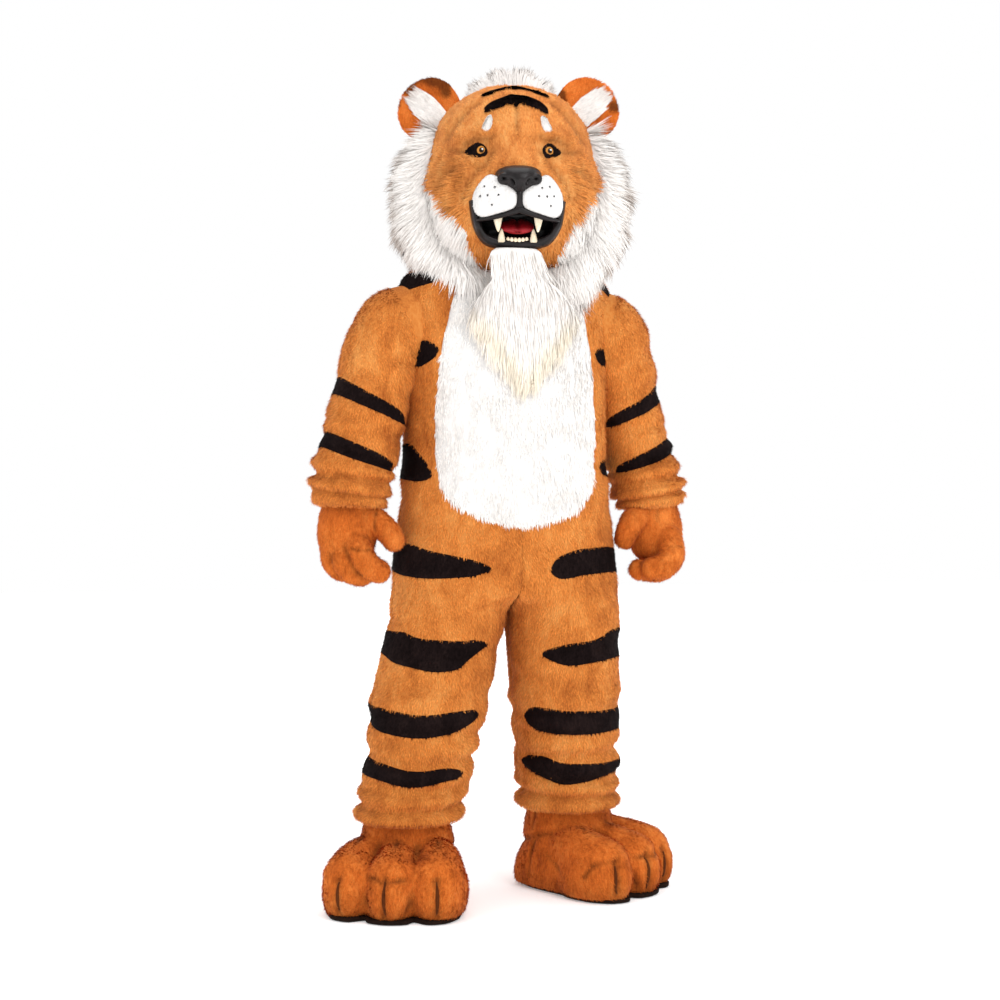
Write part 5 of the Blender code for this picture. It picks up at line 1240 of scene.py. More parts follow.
    def shade(p):
        q = from_foot(side, p)
        slit = np.zeros(len(p))
        # painted shade: darker close to the sole; also a little darker above 0.10 m up the foot
        return 1.10 - 0.35 * smooth(0.05, 0.0, q[:, 2] - SOLE_HIGH) * 0.6 - 0.10 * smooth(0.10, 0.16, q[:, 2])

    skin_of("paw_" + word, parts, 0.0060, 7, lines, RUST, "plush_rust", "paw_" + word, 30000, 0.0092, shade=shade, seed=140 + side, slits=slits,
            way=lambda q, side=side: unit(np.array([0, 0, -0.8]) + (on_foot(side, np.array([0, 1.0, 0])) - on_foot(side, np.array([0, 0.0, 0]))) * 0.8) * np.ones((len(q["p"]), 1)))
    rows = Table("k across along", *[(k, a, b) for k, (a, b) in enumerate((
        (0.0, 0.000), (0.052, 0.006), (0.086, 0.045), (0.108, 0.100), (0.127, 0.170), (0.144, 0.200), (0.154, 0.260), (0.132, 0.322),
        (0.094, 0.340), (0.060, 0.322), (0.044, 0.346), (0.0, 0.359), (-0.044, 0.348), (-0.060, 0.324), (-0.094, 0.342), (-0.132, 0.324), (-0.154, 0.264),
        (-0.144, 0.200), (-0.127, 0.170), (-0.108, 0.100), (-0.086, 0.045), (-0.052, 0.006), (0.0, 0.000)))])
    k = np.linspace(0, 22, 133)[:-1]
    outline = np.stack([rows("across", k), rows("along", k)], axis=1)
    middle = outline.mean(0)
    rings = []
    for z, grow in ((0.0006, -0.008), (0.002, -0.005), (0.0085, -0.004), (0.0105, -0.008)):
        d = unit(outline - middle)
        rings.append(on_foot(side, np.column_stack([outline + d * grow, np.full(len(outline), z)])))
    p, f = tube(rings)
    build("v_sole_" + word, p, f, SOLE, node="sole_" + word)
note("foot covers")

# ------------------------------------------------------------------ head
HEAD_X, HEAD_Y, HEAD_TURN = 0.010, -0.020, math.radians(-10.0)


def turned(d):
    """A direction of the head's own frame, in the costume's."""
    d = np.asarray(d, float)
    c, s = math.cos(HEAD_TURN), math.sin(HEAD_TURN)
    return np.stack([d[..., 0] * c - d[..., 1] * s, d[..., 0] * s + d[..., 1] * c, d[..., 2]], axis=-1)


def on_head(p):
    return turned(p) + np.array([HEAD_X, HEAD_Y, FLOOR])


def from_head(p):
    q = np.asarray(p, float) - np.array([HEAD_X, HEAD_Y, FLOOR])
    c, s = math.cos(-HEAD_TURN), math.sin(-HEAD_TURN)
    return np.stack([q[..., 0] * c - q[..., 1] * s, q[..., 0] * s + q[..., 1] * c, q[..., 2]], axis=-1)


HEAD = Table("z wide front back y",
             (1.455, 0.118, 0.110, 0.110, 0.010), (1.490, 0.158, 0.165, 0.140, 0.005), (1.540, 0.186, 0.200, 0.165, 0),
             (1.600, 0.201, 0.212, 0.185, 0), (1.660, 0.203, 0.208, 0.195, 0), (1.720, 0.197, 0.200, 0.197, 0),
             (1.780, 0.184, 0.188, 0.188, 0), (1.830, 0.160, 0.164, 0.165, 0), (1.868, 0.122, 0.125, 0.128, 0),
             (1.892, 0.072, 0.075, 0.077, 0), (1.900, 0.020, 0.022, 0.022, 0))


def head_shape(c, z):
    """c is 0 behind, 0.5 in the middle of the face."""
    c, z = np.broadcast_arrays(np.asarray(c, float), np.asarray(z, float))
    turn = TAU * c
    deep = np.where(np.cos(turn) > 0, HEAD("back", z), HEAD("front", z))
    return np.stack([-HEAD("wide", z) * np.sin(turn), HEAD("y", z) + deep * np.cos(turn), z], axis=-1)


def head_away(c, z):
    h = 1e-3
    n = unit(np.cross(head_shape(c + h, z) - head_shape(c - h, z), head_shape(c, np.clip(z + h, 1.456, 1.899)) - head_shape(c, np.clip(z - h, 1.455, 1.898))))
    out = (n * (head_shape(c, z) - np.array([0, 0, 1.66]))).sum(-1, keepdims=True)
    return n * np.where(out < 0, -1.0, 1.0)


# x and z of a lump or hollow of the face (both sides alike), its half sizes and how far it stands out
FACE_FORM = (
    (0.080, 1.722, 0.026, 0.019, -0.0110), (0.074, 1.762, 0.036, 0.018, 0.0080), (0.000, 1.700, 0.030, 0.055, 0.0130),
    (0.000, 1.668, 0.052, 0.036, 0.0120), (0.064, 1.615, 0.050, 0.046, 0.0060), (0.142, 1.650, 0.044, 0.052, 0.0120),
    (0.120, 1.560, 0.034, 0.050, 0.0080), (0.130, 1.722, 0.022, 0.014, -0.0040), (0.060, 1.845, 0.050, 0.022, 0.0040),
)
# bent lines of the face in (x, z), depth and width in metres; both sides alike
FACE_LINES = (
    (((0.058, 1.715), (0.070, 1.690), (0.092, 1.668), (0.108, 1.640), (0.116, 1.612)), 0.0070, 0.0070),
    (((0.108, 1.724), (0.128, 1.722), (0.150, 1.730)), 0.0035, 0.0060),
    (((0.050, 1.752), (0.066, 1.744), (0.094, 1.748), (0.120, 1.738)), 0.0040, 0.0055),
    (((0.110, 1.815), (0.136, 1.790), (0.158, 1.756)), 0.0040, 0.0070),
    (((0.082, 1.835), (0.104, 1.822)), 0.0030, 0.0060),
    (((0.128, 1.680), (0.150, 1.668), (0.170, 1.640)), 0.0030, 0.0080),
    (((0.000, 1.828), (0.001, 1.795), (0.000, 1.757)), 0.0030, 0.0034),
)


def flat_line(x, z, line):
    best = np.full(x.shape, 1e9)
    for (ax, az), (bx, bz) in zip(line, line[1:]):
        dx, dz = bx - ax, bz - az
        t = np.clip(((x - ax) * dx + (z - az) * dz) / (dx * dx + dz * dz), 0, 1)
        best = np.minimum(best, np.hypot(x - ax - t * dx, z - az - t * dz))
    return best


def face_form(p):
    """How far the padded face stands off the plain form, and how deep in a crease each point lies."""
    x, z = np.abs(p[..., 0]), p[..., 2]
    front = smooth(0.03, -0.06, p[..., 1])
    h = np.zeros(x.shape)
    for cx, cz, wide, high, out in FACE_FORM:
        h = h + out * np.exp(-((x - cx) / wide)**2 - ((z - cz) / high)**2)
    deep = np.zeros(x.shape)
    for line, depth, width in FACE_LINES:
        g = np.exp(-(flat_line(x, z, line) / width)**2)
        h = h - depth * g
        deep = np.maximum(deep, g)
    h = h * front
    h = h + 0.0016 * noise(p, 0.05, 71) + 0.0008 * noise(p, 0.022, 72)
    return h, deep * front


def head_point(c, z, lift=0.0):
    p = head_shape(c, z)
    h, _ = face_form(p)
    return p + head_away(c, z) * (h + lift)[..., None]


def face_point(x, z, lift=0.0):
    """The point of the face in front of (x, z)."""
    x, z = np.broadcast_arrays(np.asarray(x, float), np.asarray(z, float))
    c = 0.5 + np.arcsin(np.clip(x / HEAD("wide", z), -0.999, 0.999)) / TAU
    return head_point(c, z, lift)


# the mouth's outline, which is its lip's middle
MOUTH = Table("turn x z", (-32, 0.080, 1.606), (0, 0.108, 1.602), (30, 0.099, 1.548), (60, 0.067, 1.507), (90, 0, 1.496), (120, -0.067, 1.507),
              (150, -0.099, 1.548), (180, -0.108, 1.602), (212, -0.080, 1.606), (240, -0.040, 1.598), (270, 0, 1.594),
              (300, 0.040, 1.598), (328, 0.080, 1.606), (360, 0.108, 1.602), (390, 0.099, 1.548))
MOUTH_Z, MOUTH_Y = 1.560, 0.212
GUM = np.linspace(0, 360, 97)[:-1]


def mouth_ring(scale, y, turn=None):
    turn = GUM if turn is None else turn
    x, z = MOUTH("x", turn) * scale, (MOUTH("z", turn) - MOUTH_Z) * scale
    return np.stack([x, -(MOUTH_Y + y) + 1.9 * x**2 + 0.9 * np.maximum(0, -z - 0.02), MOUTH_Z + z], axis=-1)


def inside(x, z, line):
    """Even-odd test against a closed outline."""
    line = np.asarray(line)
    hit = np.zeros(x.shape, bool)
    for (ax, az), (bx, bz) in zip(line, np.roll(line, -1, axis=0)):
        if az == bz:
            continue
        cross = (az > z) != (bz > z)
        hit ^= cross & (x < ax + (z - az) * (bx - ax) / (bz - az))
    return hit


def outline_of(points, count=48):
    """A smooth closed line through a few points, as (count, 2)."""
    pts = np.asarray(points, float)
    n = len(pts)
    t = np.arange(count) * n / count
    k = t.astype(int)
    f = (t - k)[:, None]
    p0, p1, p2, p3 = (pts[(k + s) % n] for s in (-1, 0, 1, 2))
    return 0.5 * (2 * p1 + (p2 - p0) * f + (2 * p0 - 5 * p1 + 4 * p2 - p3) * f**2 + (3 * p1 - p0 - 3 * p2 + p3) * f**3)


LIP_OUT = mouth_ring(1.0, 0)[:, [0, 2]]
# where the orange of the cheeks gives way to the white of the ruff, and the width of the beard's root
CHEEK = Table("z x", (1.440, 0.074), (1.470, 0.088), (1.500, 0.101), (1.540, 0.118), (1.578, 0.140), (1.615, 0.163), (1.650, 0.190), (1.690, 0.215), (1.900, 0.300))
PAD = outline_of(((0.0058, 1.613), (0.0062, 1.590), (0.017, 1.5765), (0.045, 1.5675), (0.078, 1.5620), (0.096, 1.574), (0.1020, 1.596),
                  (0.0975, 1.621), (0.083, 1.643), (0.0660, 1.6555), (0.049, 1.650), (0.026, 1.6320)), 64)
RIM = outline_of(((0.0630, 1.7180), (0.0680, 1.7320), (0.0820, 1.7400), (0.0980, 1.7340), (0.1130, 1.7220), (0.1000, 1.7110), (0.0840, 1.7060), (0.0690, 1.7080)), 48)
BROW = outline_of(((0.0600, 1.8010), (0.0680, 1.8000), (0.0760, 1.7850), (0.0800, 1.7700), (0.0730, 1.7670), (0.0640, 1.7700), (0.0590, 1.7850)), 40)
FRONT_STRIPE = Table("x low high", (-0.0730, 1.8130, 1.8170), (-0.0690, 1.8090, 1.8230), (-0.0520, 1.8160, 1.8350), (-0.0400, 1.8200, 1.8400), (-0.0300, 1.8240, 1.8450), (-0.0220, 1.8300, 1.8490),
                     (-0.0120, 1.8290, 1.8545), (0, 1.8230, 1.8530), (0.0080, 1.8310, 1.8520), (0.0200, 1.8280, 1.8500), (0.0320, 1.8250, 1.8450), (0.0520, 1.8180, 1.8360), (0.0690, 1.8100, 1.8230), (0.0730, 1.8140, 1.8180))
BACK_STRIPE = Table("x low high", (-0.0800, 1.8500, 1.8520), (-0.0700, 1.8510, 1.8590), (-0.0480, 1.8590, 1.8700), (-0.0400, 1.8660, 1.8730), (-0.0100, 1.8750, 1.8830), (0, 1.8710, 1.8840),
                    (0.0100, 1.8750, 1.8830), (0.0360, 1.8680, 1.8740), (0.0420, 1.8610, 1.8720), (0.0660, 1.8510, 1.8600), (0.0760, 1.8490, 1.8510))


def eye_hollow(x, z):
    return np.exp(-((np.abs(x) - 0.082) / 0.034)**2 - ((z - 1.726) / 0.024)**2)


# the shell, open at the neck and where the mouth is set in
HEAD_ROWS, HEAD_COLUMNS = 78, 112
u = np.linspace(0, 1, HEAD_ROWS)
z = 1.455 + 0.445 * (1 - (1 - u)**1.45)
c = np.arange(HEAD_COLUMNS) / HEAD_COLUMNS
C, Z = np.meshgrid(c, z)
points = head_point(C, Z)
away = grid_normals(points, wrap=True)
if np.mean((away * (points - np.array([0, 0, 1.66]))).sum(-1)) < 0:
    away = -away
away[-3:] = unit(away[-3:] * np.array([0.2, 0.2, 1.0]) + np.array([0, 0, 0.5]))
_, deep = face_form(head_shape(C, Z))
quads = grid_faces(HEAD_ROWS, HEAD_COLUMNS, True)
flat = points.reshape(-1, 3)
middle = flat[quads].mean(axis=1)
cut = inside(middle[:, 0], middle[:, 2], mouth_ring(0.93, 0)[:, [0, 2]]) & (middle[:, 1] < -0.05)
quads = quads[~cut]
test = flat[quads[0]]
if np.cross(test[1] - test[0], test[2] - test[0]) @ away.reshape(-1, 3)[quads[0, 0]] < 0:
    quads = quads[:, ::-1]
# painted shade: the shell under the pile is darker, and darker still in the creases and the eye hollows
shade = 0.66 * (1 - 0.35 * deep) * (1 - 0.30 * eye_hollow(points[..., 0], points[..., 2]) * (points[..., 1] < 0))
world = on_head(points).reshape(-1, 3)
world_away = turned(away).reshape(-1, 3)


def thick_skin(name, points, away, faces, thick, material, tint, node, inner_tint=0.5):
    """A closed wall from any open sheet of quads."""
    n = len(points)
    edges = np.concatenate([np.stack([faces[:, k], faces[:, (k + 1) % 4]], axis=1) for k in range(4)])
    key = np.sort(edges, axis=1)
    _, first, count = np.unique(key, axis=0, return_index=True, return_counts=True)
    rim = edges[first[count == 1]]
    rims = np.stack([rim[:, 1], rim[:, 0], rim[:, 0] + n, rim[:, 1] + n], axis=1)
    used = np.zeros(2 * n, bool)
    everything = np.concatenate([faces, faces[:, ::-1] + n, rims])
    used[everything.ravel()] = True
    index = np.cumsum(used) - 1
    p = np.concatenate([points, points - away * thick])[used]
    t = np.concatenate([tint.reshape(-1), np.full(n, inner_tint)])[used]
    return build(name, p, index[everything], material, tint=t, node=node)


head = thick_skin("v_head_shell", world, world_away, quads, 0.009, FACE, shade, "head_shell")
surface = Surface(world, world_away, quads, h=flat, deep=deep)
NOSE_AT = np.array([0, -0.215, 1.668])


def face_way(q):
    h = q["h"]
    d = unit(h - NOSE_AT)
    back = smooth(-0.02, 0.10, h[:, 1])[:, None]
    d = d * (1 - back) + np.array([0, 0.1, -1.0]) * back
    low = (smooth(1.62, 1.52, h[:, 2]) * (1 - back[:, 0]))[:, None]
    return turned(unit(d + low * np.array([0, 0, -0.7])))


def face_long(q):
    h = q["h"]
    x, z = np.abs(h[:, 0]), h[:, 2]
    cheek = smooth(0.085, 0.150, x) * smooth(1.735, 1.675, z)
    chin = smooth(1.555, 1.500, z)
    back = smooth(-0.01, 0.08, h[:, 1])
    rim = smooth(-0.030, 0.000, x - CHEEK("x", z)) * (h[:, 1] < 0.02)
    return (0.0085 + 0.0160 * np.maximum(cheek, chin * 0.85) + 0.008 * rim + 0.004 * back) * (1 - 0.35 * q["deep"][:, 0]) * (1 - 0.4 * eye_hollow(x, z))


def white_part(h):
    """Under the cheeks and the lip the head is sewn from the ruff's white fur."""
    x, z = np.abs(h[:, 0]), h[:, 2]
    ragged = 0.008 * noise(h, 0.022, 73)
    return ((x > CHEEK("x", z) + ragged) & (z < 1.70)) | ((x < 0.054 + ragged * 0.5) & (z < 1.484))


def face_bare(q):
    h = q["h"]
    x, z = h[:, 0], h[:, 2]
    front = h[:, 1] < -0.02
    gone = inside(x, z, LIP_OUT * 1.0) | inside(np.abs(x), z, PAD) | (((x / 0.047)**2 + ((z - 1.645) / 0.028)**2) < 0.9)
    gone |= inside(np.abs(x), z, RIM) | inside(np.abs(x), z, BROW)
    gone |= (z > FRONT_STRIPE("low", x) - 0.0050) & (z < FRONT_STRIPE("high", x) + 0.001) & (np.abs(x) < 0.074)
    gone |= (z > BACK_STRIPE("low", x) - 0.0040) & (z < BACK_STRIPE("high", x)) & (np.abs(x) < 0.078)
    return ~((gone | white_part(h)) & front)


def face_tint(q):
    h = q["h"]
    x, z = np.abs(h[:, 0]), h[:, 2]
    front = h[:, 1] < 0.0
    # painted shade: the face fur is darker in the creases and the eye hollows
    d = 1 - 0.30 * q["deep"][:, 0] - 0.30 * eye_hollow(x, z) * front
    bridge = np.exp(-(x / 0.05)**2 - ((z - 1.715) / 0.05)**2) * front
    jaw = smooth(1.58, 1.51, z) * front
    tone = np.stack([1 - 0.06 * (1 - bridge) - 0.02 * jaw, 0.93 + 0.10 * bridge - 0.08 * jaw, 0.86 + 0.18 * bridge - 0.15 * jaw], axis=1)
    patch = 1 - 0.20 * np.maximum(0, noise(h, 0.030, 77)) - 0.16 * np.maximum(0, noise(h * np.array([1, 1, 0.6]), 0.012, 78)) * smooth(0.07, 0.13, x)
    return tone * (d * patch)[:, None]


weight = 0.55 + 0.9 * smooth(0.05, -0.06, flat[:, 1])
face_fur = pile("pile_head_shell", surface, 39000, FACE, "plush_orange", face_long, wide=0.0024, lean=lambda q: 64 - 10 * smooth(0.09, 0.15, np.abs(q["h"][:, 0])) * (q["h"][:, 2] < 1.72),
                way=face_way, weight=weight, seed=201, segments=2, droop=0.5, spread=0.42, clump=0.42, clump_size=0.017, mask=face_bare,
                tint=face_tint, root=0.74, tip=1.08, soft=0.70)
white_fur = pile("pile_head_white", surface, 20000, FUR, "fur_white", lambda q: 0.034 + 0.008 * noise(q["p"], 0.05, 74), wide=0.0036, lean=62,
                 way=lambda q: turned(unit(np.stack([q["h"][:, 0] * 4.0 * (np.abs(q["h"][:, 0]) > 0.06), -0.1 + 0 * q["h"][:, 0], -0.75 + 0 * q["h"][:, 0]], axis=1))),
                 seed=205, segments=2, droop=0.5, spread=0.40, clump=0.40, clump_size=0.022, root=0.92, tip=1.02, soft=0.7,
                 weight=smooth(1.72, 1.68, flat[:, 2]) * smooth(0.02, -0.03, flat[:, 1]),
                 mask=lambda q: white_part(q["h"]) & ~inside(q["h"][:, 0], q["h"][:, 2], LIP_OUT))
note("head shell")


# patches sewn to the head
def patch_on_face(name, line, lift, crown, material, slot, node, side, rings=7, long=0.004, count=600, way=(0, 0, -1), extra=None):
    centre = line.mean(axis=0)
    scales = np.concatenate([[1.0], np.linspace(0.97, 0.05, rings)])
    grid = []
    for s in scales:
        xy = centre + (line - centre) * s
        grid.append(face_point(side * xy[:, 0], xy[:, 1], lift + crown * (1 - s**2)))
    grid = np.array(grid)
    if side == RIGHT:
        grid = grid[:, ::-1]
    away = grid_normals(grid, wrap=True)
    away[-1] = away[-2]
    flip = away[:, :, 1].mean() > 0
    if flip:
        away = -away
        grid, away = grid[:, ::-1], away[:, ::-1]
    if np.cross(grid[0, 1] - grid[0, 0], grid[1, 0] - grid[0, 0]) @ away[0, 0] < 0:
        grid, away = grid[:, ::-1], away[:, ::-1]
    world, world_away = on_head(grid), turned(away)
    obj = shell(name, world, world_away, 0.0012, material, wrap=True, node=node, inner_tint=0.8)
    surface = Surface(world, world_away, grid_faces(*grid.shape[:2], True), h=grid)
    coat = pile("pile_" + name[2:], surface, count, material, slot, long, wide=0.0016, lean=60, way=way, seed=len(name), spread=0.5, root=0.85, tip=1.1, soft=0.7, **(extra or {}))
    return obj, coat


for side in (RIGHT, LEFT):
    word = WORD[side]
    rim_line = RIM * np.array([0.92 if side == LEFT else 1.0, 1.0]) + np.array([0.0065 if side == RIGHT else 0.0005, -0.001])
    patch_on_face("v_eye_rim_" + word, rim_line, 0.0006, 0.0015, DARK, "plush_dark", "eye_rim_" + word, side, long=0.0028, count=1500,
                  way=lambda q: turned(unit(q["h"] - NOSE_AT)))
    patch_on_face("v_brow_" + word, BROW.mean(axis=0) + np.array([-0.0045, 0.0]) + (BROW - BROW.mean(axis=0)) * np.array([0.84, 1.0]), 0.0010, 0.0060, FUR, "plush_white", "brow_" + word, side, long=0.0085, count=1800,
                  way=lambda q: turned(unit(np.array([0, -0.2, -1.0]) * np.ones((len(q["h"]), 1)))), extra=dict(segments=2, droop=0.4))
for name, node, table, count in (("v_head_stripe_front", "head_stripe_front", FRONT_STRIPE, 4200), ("v_head_stripe_back", "head_stripe_back", BACK_STRIPE, 2400)):
    x0 = table.rows[-1, 0] * 0.97
    x = x0 * np.sin(np.linspace(-1, 1, 60) * math.pi / 2)
    v = np.linspace(0, 1, 9)
    X = np.repeat(x[None], 9, axis=0)
    Z = table("high", x)[None] + (table("low", x) - table("high", x))[None] * v[:, None]
    grid = face_point(X, Z, 0.0022)
    away = grid_normals(grid)
    if away[..., 1].mean() > 0:
        away = -away
    if np.cross(grid[4, 31] - grid[4, 30], grid[5, 30] - grid[4, 30]) @ away[4, 30] < 0:
        grid, away = grid[:, ::-1], away[:, ::-1]
    world, world_away = on_head(grid), turned(away)
    obj = shell(name, world, world_away, 0.0012, DARK, node=node)
    surface = Surface(world, world_away, grid_faces(9, 60), h=grid)
    coat = pile("pile_" + node, surface, count, DARK, "plush_dark", 0.0062, wide=0.0024, lean=66, way=(0, 0, -1), seed=len(name), spread=0.35, root=0.8, tip=1.1,
                clump=0.2, clump_size=0.010)
    long_ = float(np.linalg.norm(np.diff(world[4], axis=0), axis=1).sum()) + 0.002
    area = float(surface.area.sum())


# ------------------------------------------------------------------ muzzle, nose, mouth
def face_front(x, z):
    """How far forward the muzzle's cloth lies."""
    return -0.2495 + 4.6 * x**2 + 0.10 * (z - 1.61)


DOTS = {RIGHT: ((484.5, 186.5), (494.5, 188.5), (480.5, 196.0), (487.5, 196.0), (498.0, 196.5), (491.5, 206.0)),
        LEFT: ((549.5, 187.0), (546.5, 197.0), (554.0, 196.0), (550.5, 206.0), (541.5, 189.0), (538.0, 197.5))}
WHISKERS = {side: np.array([((px - 519.1) * 0.00224, 1.6555 - (py - 174.5) * 0.00226) for px, py in rows]) for side, rows in DOTS.items()}
for side in (RIGHT, LEFT):
    word = WORD[side]
    centre = np.array([0.052, 1.606])
    rings = []
    for scale, out in ((0.04, 0.016), (0.75, 0.016), (0.93, 0.012), (1.0, 0.004), (1.015, -0.002), (0.99, -0.008), (0.94, -0.0125), (0.86, -0.0165), (0.75, -0.0195),
                       (0.62, -0.0218), (0.48, -0.0232), (0.33, -0.0241), (0.18, -0.0247), (0.04, -0.0250)):
        xy = centre + (PAD - centre) * scale
        rings.append(on_head(np.stack([side * xy[:, 0], face_front(xy[:, 0], xy[:, 1]) + out * 0.92, xy[:, 1]], axis=1)))
    p, f = tube(rings)
    n = np.zeros_like(p)
    a = np.cross(p[f[:, 1]] - p[f[:, 0]], p[f[:, 2]] - p[f[:, 0]])
    for k in range(3):
        np.add.at(n, f[:, k], a)
    n = unit(n)
    h = from_head(p)
    knots_p, knots_f, knots_t, first = [p], [f], [np.full(len(p), 0.94)], len(p)
    for x, z in WHISKERS[side]:
        local = np.array([abs(x), z])
        s = np.abs(local - centre) / (np.ptp(PAD, axis=0) / 2)
        bulge = -0.0250 * math.sqrt(max(0.0, 1 - min(1.0, (s[0]**2.2 + s[1]**2.2)) ** 1.4))
        q, g = ball(on_head((x, face_front(abs(x), z) + bulge * 0.92 - 0.0006, z)), (0.0021, 0.0024, 0.0021), (12, 8))
        knots_p.append(q)
        knots_f.append(g + first)
        knots_t.append(np.full(len(q), 0.05))
        first += len(q)
    obj = build("v_muzzle_" + word, np.concatenate(knots_p), np.concatenate(knots_f), WHITE, tint=np.concatenate(knots_t), node="muzzle_" + word)
    surface = Surface(p, n, f, h=h)

    def dots(q, side=side):
        h = q["h"]
        near = np.full(len(h), 1e9)
        for x, z in WHISKERS[side]:
            near = np.minimum(near, np.hypot(h[:, 0] - x, h[:, 2] - z))
        return np.ones((len(h), 3)) * (1 - 0.90 * smooth(0.0032, 0.0020, near))[:, None]

    coat = pile("pile_muzzle_" + word, surface, 9000, WHITE, "plush_white", 0.0030, wide=0.0016, lean=68, seed=230 + side, spread=0.4, root=0.95, tip=1.02, soft=0.92,
                way=lambda q: turned(unit(q["h"] - NOSE_AT)), mask=lambda q: q["h"][:, 1] < face_front(np.abs(q["h"][:, 0]), q["h"][:, 2]) + 0.006, tint=dots)


def form(name, parts, voxel, rounds, grooves, material, node, tint=0.95, extra=None):
    p, f = join_round(parts, voxel, rounds)
    n = vertex_normals(p, f)
    h = np.zeros(len(p))
    deep = np.zeros(len(p))
    for line, depth, width in grooves:
        g = np.exp(-(near_line(p, line) / width)**2)
        h = h - depth * g
        deep = np.maximum(deep, g)
    p = p + n * h[:, None]
    shade = tint * (1 - 0.6 * deep)
    if extra is not None:
        shade = shade * extra(p)
    obj = build("v_" + name, p, f, material, tint=shade, node=node)
    return obj


nose_rows = Table("z half front", (1.607, 0.004, 0.262), (1.616, 0.016, 0.273), (1.627, 0.034, 0.282), (1.638, 0.0480, 0.286), (1.650, 0.0530, 0.284), (1.661, 0.0520, 0.276), (1.669, 0.0460, 0.264), (1.674, 0.034, 0.252))
rings = []
for z in np.linspace(1.607, 1.674, 26):
    turn = TAU * np.arange(48) / 48
    half, front = nose_rows("half", z), nose_rows("front", z)
    x = half * np.sign(np.cos(turn)) * np.abs(np.cos(turn))**0.8
    deep_ = (front - 0.222)
    y = -0.222 + np.where(np.sin(turn) < 0, deep_ * np.sin(turn), 0.012 * np.sin(turn)) * np.abs(np.sin(turn))**-0.0
    rings.append(on_head(np.stack([x, y + 2.2 * x**2, np.full(48, z)], axis=1)))
parts = [tube(rings)]
for s in (-1, 1):
    parts.append(tuple(ball(on_head((s * 0.034, -0.260, 1.642)), (0.0165, 0.0175, 0.0140))))
H = lambda *rows: on_head(np.array(rows))
grooves = []
for s in (-1, 1):
    grooves.append((H((s * 0.020, -0.277, 1.6290), (s * 0.0245, -0.283, 1.6335), (s * 0.0310, -0.2830, 1.6370), (s * 0.0400, -0.274, 1.6385)), 0.0130, 0.0062))
grooves.append((H((0, -0.288, 1.634), (0, -0.280, 1.620), (0, -0.266, 1.610)), 0.0022, 0.0026))
form("nose", parts, 0.0021, 5, grooves, BLACK, "nose")

# the lip and the lined hollow behind it, the upper lip under the pads and the groove below the nose
profile = ((0.05, -0.046), (0.30, -0.048), (0.50, -0.047), (0.66, -0.042), (0.76, -0.032), (0.800, -0.018), (0.815, -0.004), (0.830, 0.006), (0.855, 0.0145), (0.890, 0.0195),
           (0.925, 0.0210), (0.960, 0.0195), (0.992, 0.0145), (1.015, 0.006), (1.020, -0.006), (1.000, -0.022), (0.955, -0.036), (0.80, -0.052), (0.5, -0.060), (0.2, -0.062))
rings = []
for s, y in profile:
    ring = mouth_ring(s, y - 0.001)
    # the lower lip is the fullest part
    ring[:, 2] += 0.0085 * smooth(-0.026, -0.048, ring[:, 2] - MOUTH_Z) * smooth(0.96, 0.86, s)
    rings.append(on_head(ring))
p, f = tube(rings)
t = np.ones(len(p))
# painted shade: the hollow behind the lip is darker than the lip
t[:len(GUM) * 5] = 0.10
t[len(GUM) * 5:len(GUM) * 6] = 0.35
t[len(p) - 2] = 0.10
pieces, first = [(p, f, t)], len(p)
count = 25
xs = np.linspace(-0.094, 0.094, count)
lip_z = np.interp(np.abs(xs), (0, 0.012, 0.03, 0.05, 0.075, 0.094), (1.5770, 1.5720, 1.5660, 1.5615, 1.5575, 1.5560))
rings = []
for k in range(count):
    turn = TAU * np.arange(16) / 16
    fat = 0.0068 * (1 - 0.55 * abs(xs[k] / 0.094)**3) * (1 + 0.35 * math.exp(-(xs[k] / 0.014)**2))
    rings.append(on_head(np.stack([np.full(16, xs[k]), face_front(xs[k], lip_z[k]) + 0.003 + 0.0085 * np.cos(turn), lip_z[k] + fat * np.sin(turn)], axis=1)))
q, g = tube(rings)
pieces.append((q, g, np.full(len(q), 0.95)))
rings = []
for k, (y, z, wide) in enumerate(((-0.252, 1.622, 0.0050), (-0.262, 1.613, 0.0062), (-0.261, 1.604, 0.0062), (-0.258, 1.594, 0.0066), (-0.255, 1.585, 0.0085), (-0.252, 1.577, 0.0130))):
    turn = TAU * np.arange(16) / 16
    rings.append(on_head(np.stack([wide * np.cos(turn), y + 0.006 * np.sin(turn) * -1, np.full(16, z)], axis=1)))
q, g = tube(rings)
pieces.append((q, g, np.full(len(q), 0.95)))
pts, faces, tints, first = [], [], [], 0
for q, g, tt in pieces:
    pts.append(q)
    faces.append(g + first)
    tints.append(tt)
    first += len(q)
mouth = build("v_mouth", np.concatenate(pts), np.concatenate(faces), BLACK, tint=np.concatenate(tints), node="mouth")

# the tongue lies back from the lower teeth, with a groove down its middle
u, v = np.meshgrid(np.linspace(0, 1, 33), np.linspace(0, TAU, 49)[:-1])
rings = []
lean_back = math.radians(38)
for k in np.linspace(-1, 1, 30):
    turn = TAU * np.arange(48) / 48
    half = 0.0360 * math.sqrt(max(0.0, 1 - abs(k)**2.6)) + 0.001
    thick = 0.0105 * math.sqrt(max(0.0, 1 - abs(k)**3)) + 0.0006
    x = half * np.cos(turn)
    up = thick * np.sin(turn)
    groove = 0.0050 * np.exp(-(x / 0.0055)**2) * (np.sin(turn) > 0) * (0.45 + 0.55 * (k + 1) / 2)
    up = up - groove
    along = k * 0.026
    y = -0.1880 + along * math.cos(lean_back) - up * math.sin(lean_back)
    z = 1.5475 + along * math.sin(lean_back) + up * math.cos(lean_back)
    rings.append(on_head(np.stack([x, y, z], axis=1)))
p, f = tube(rings)
h = from_head(p)
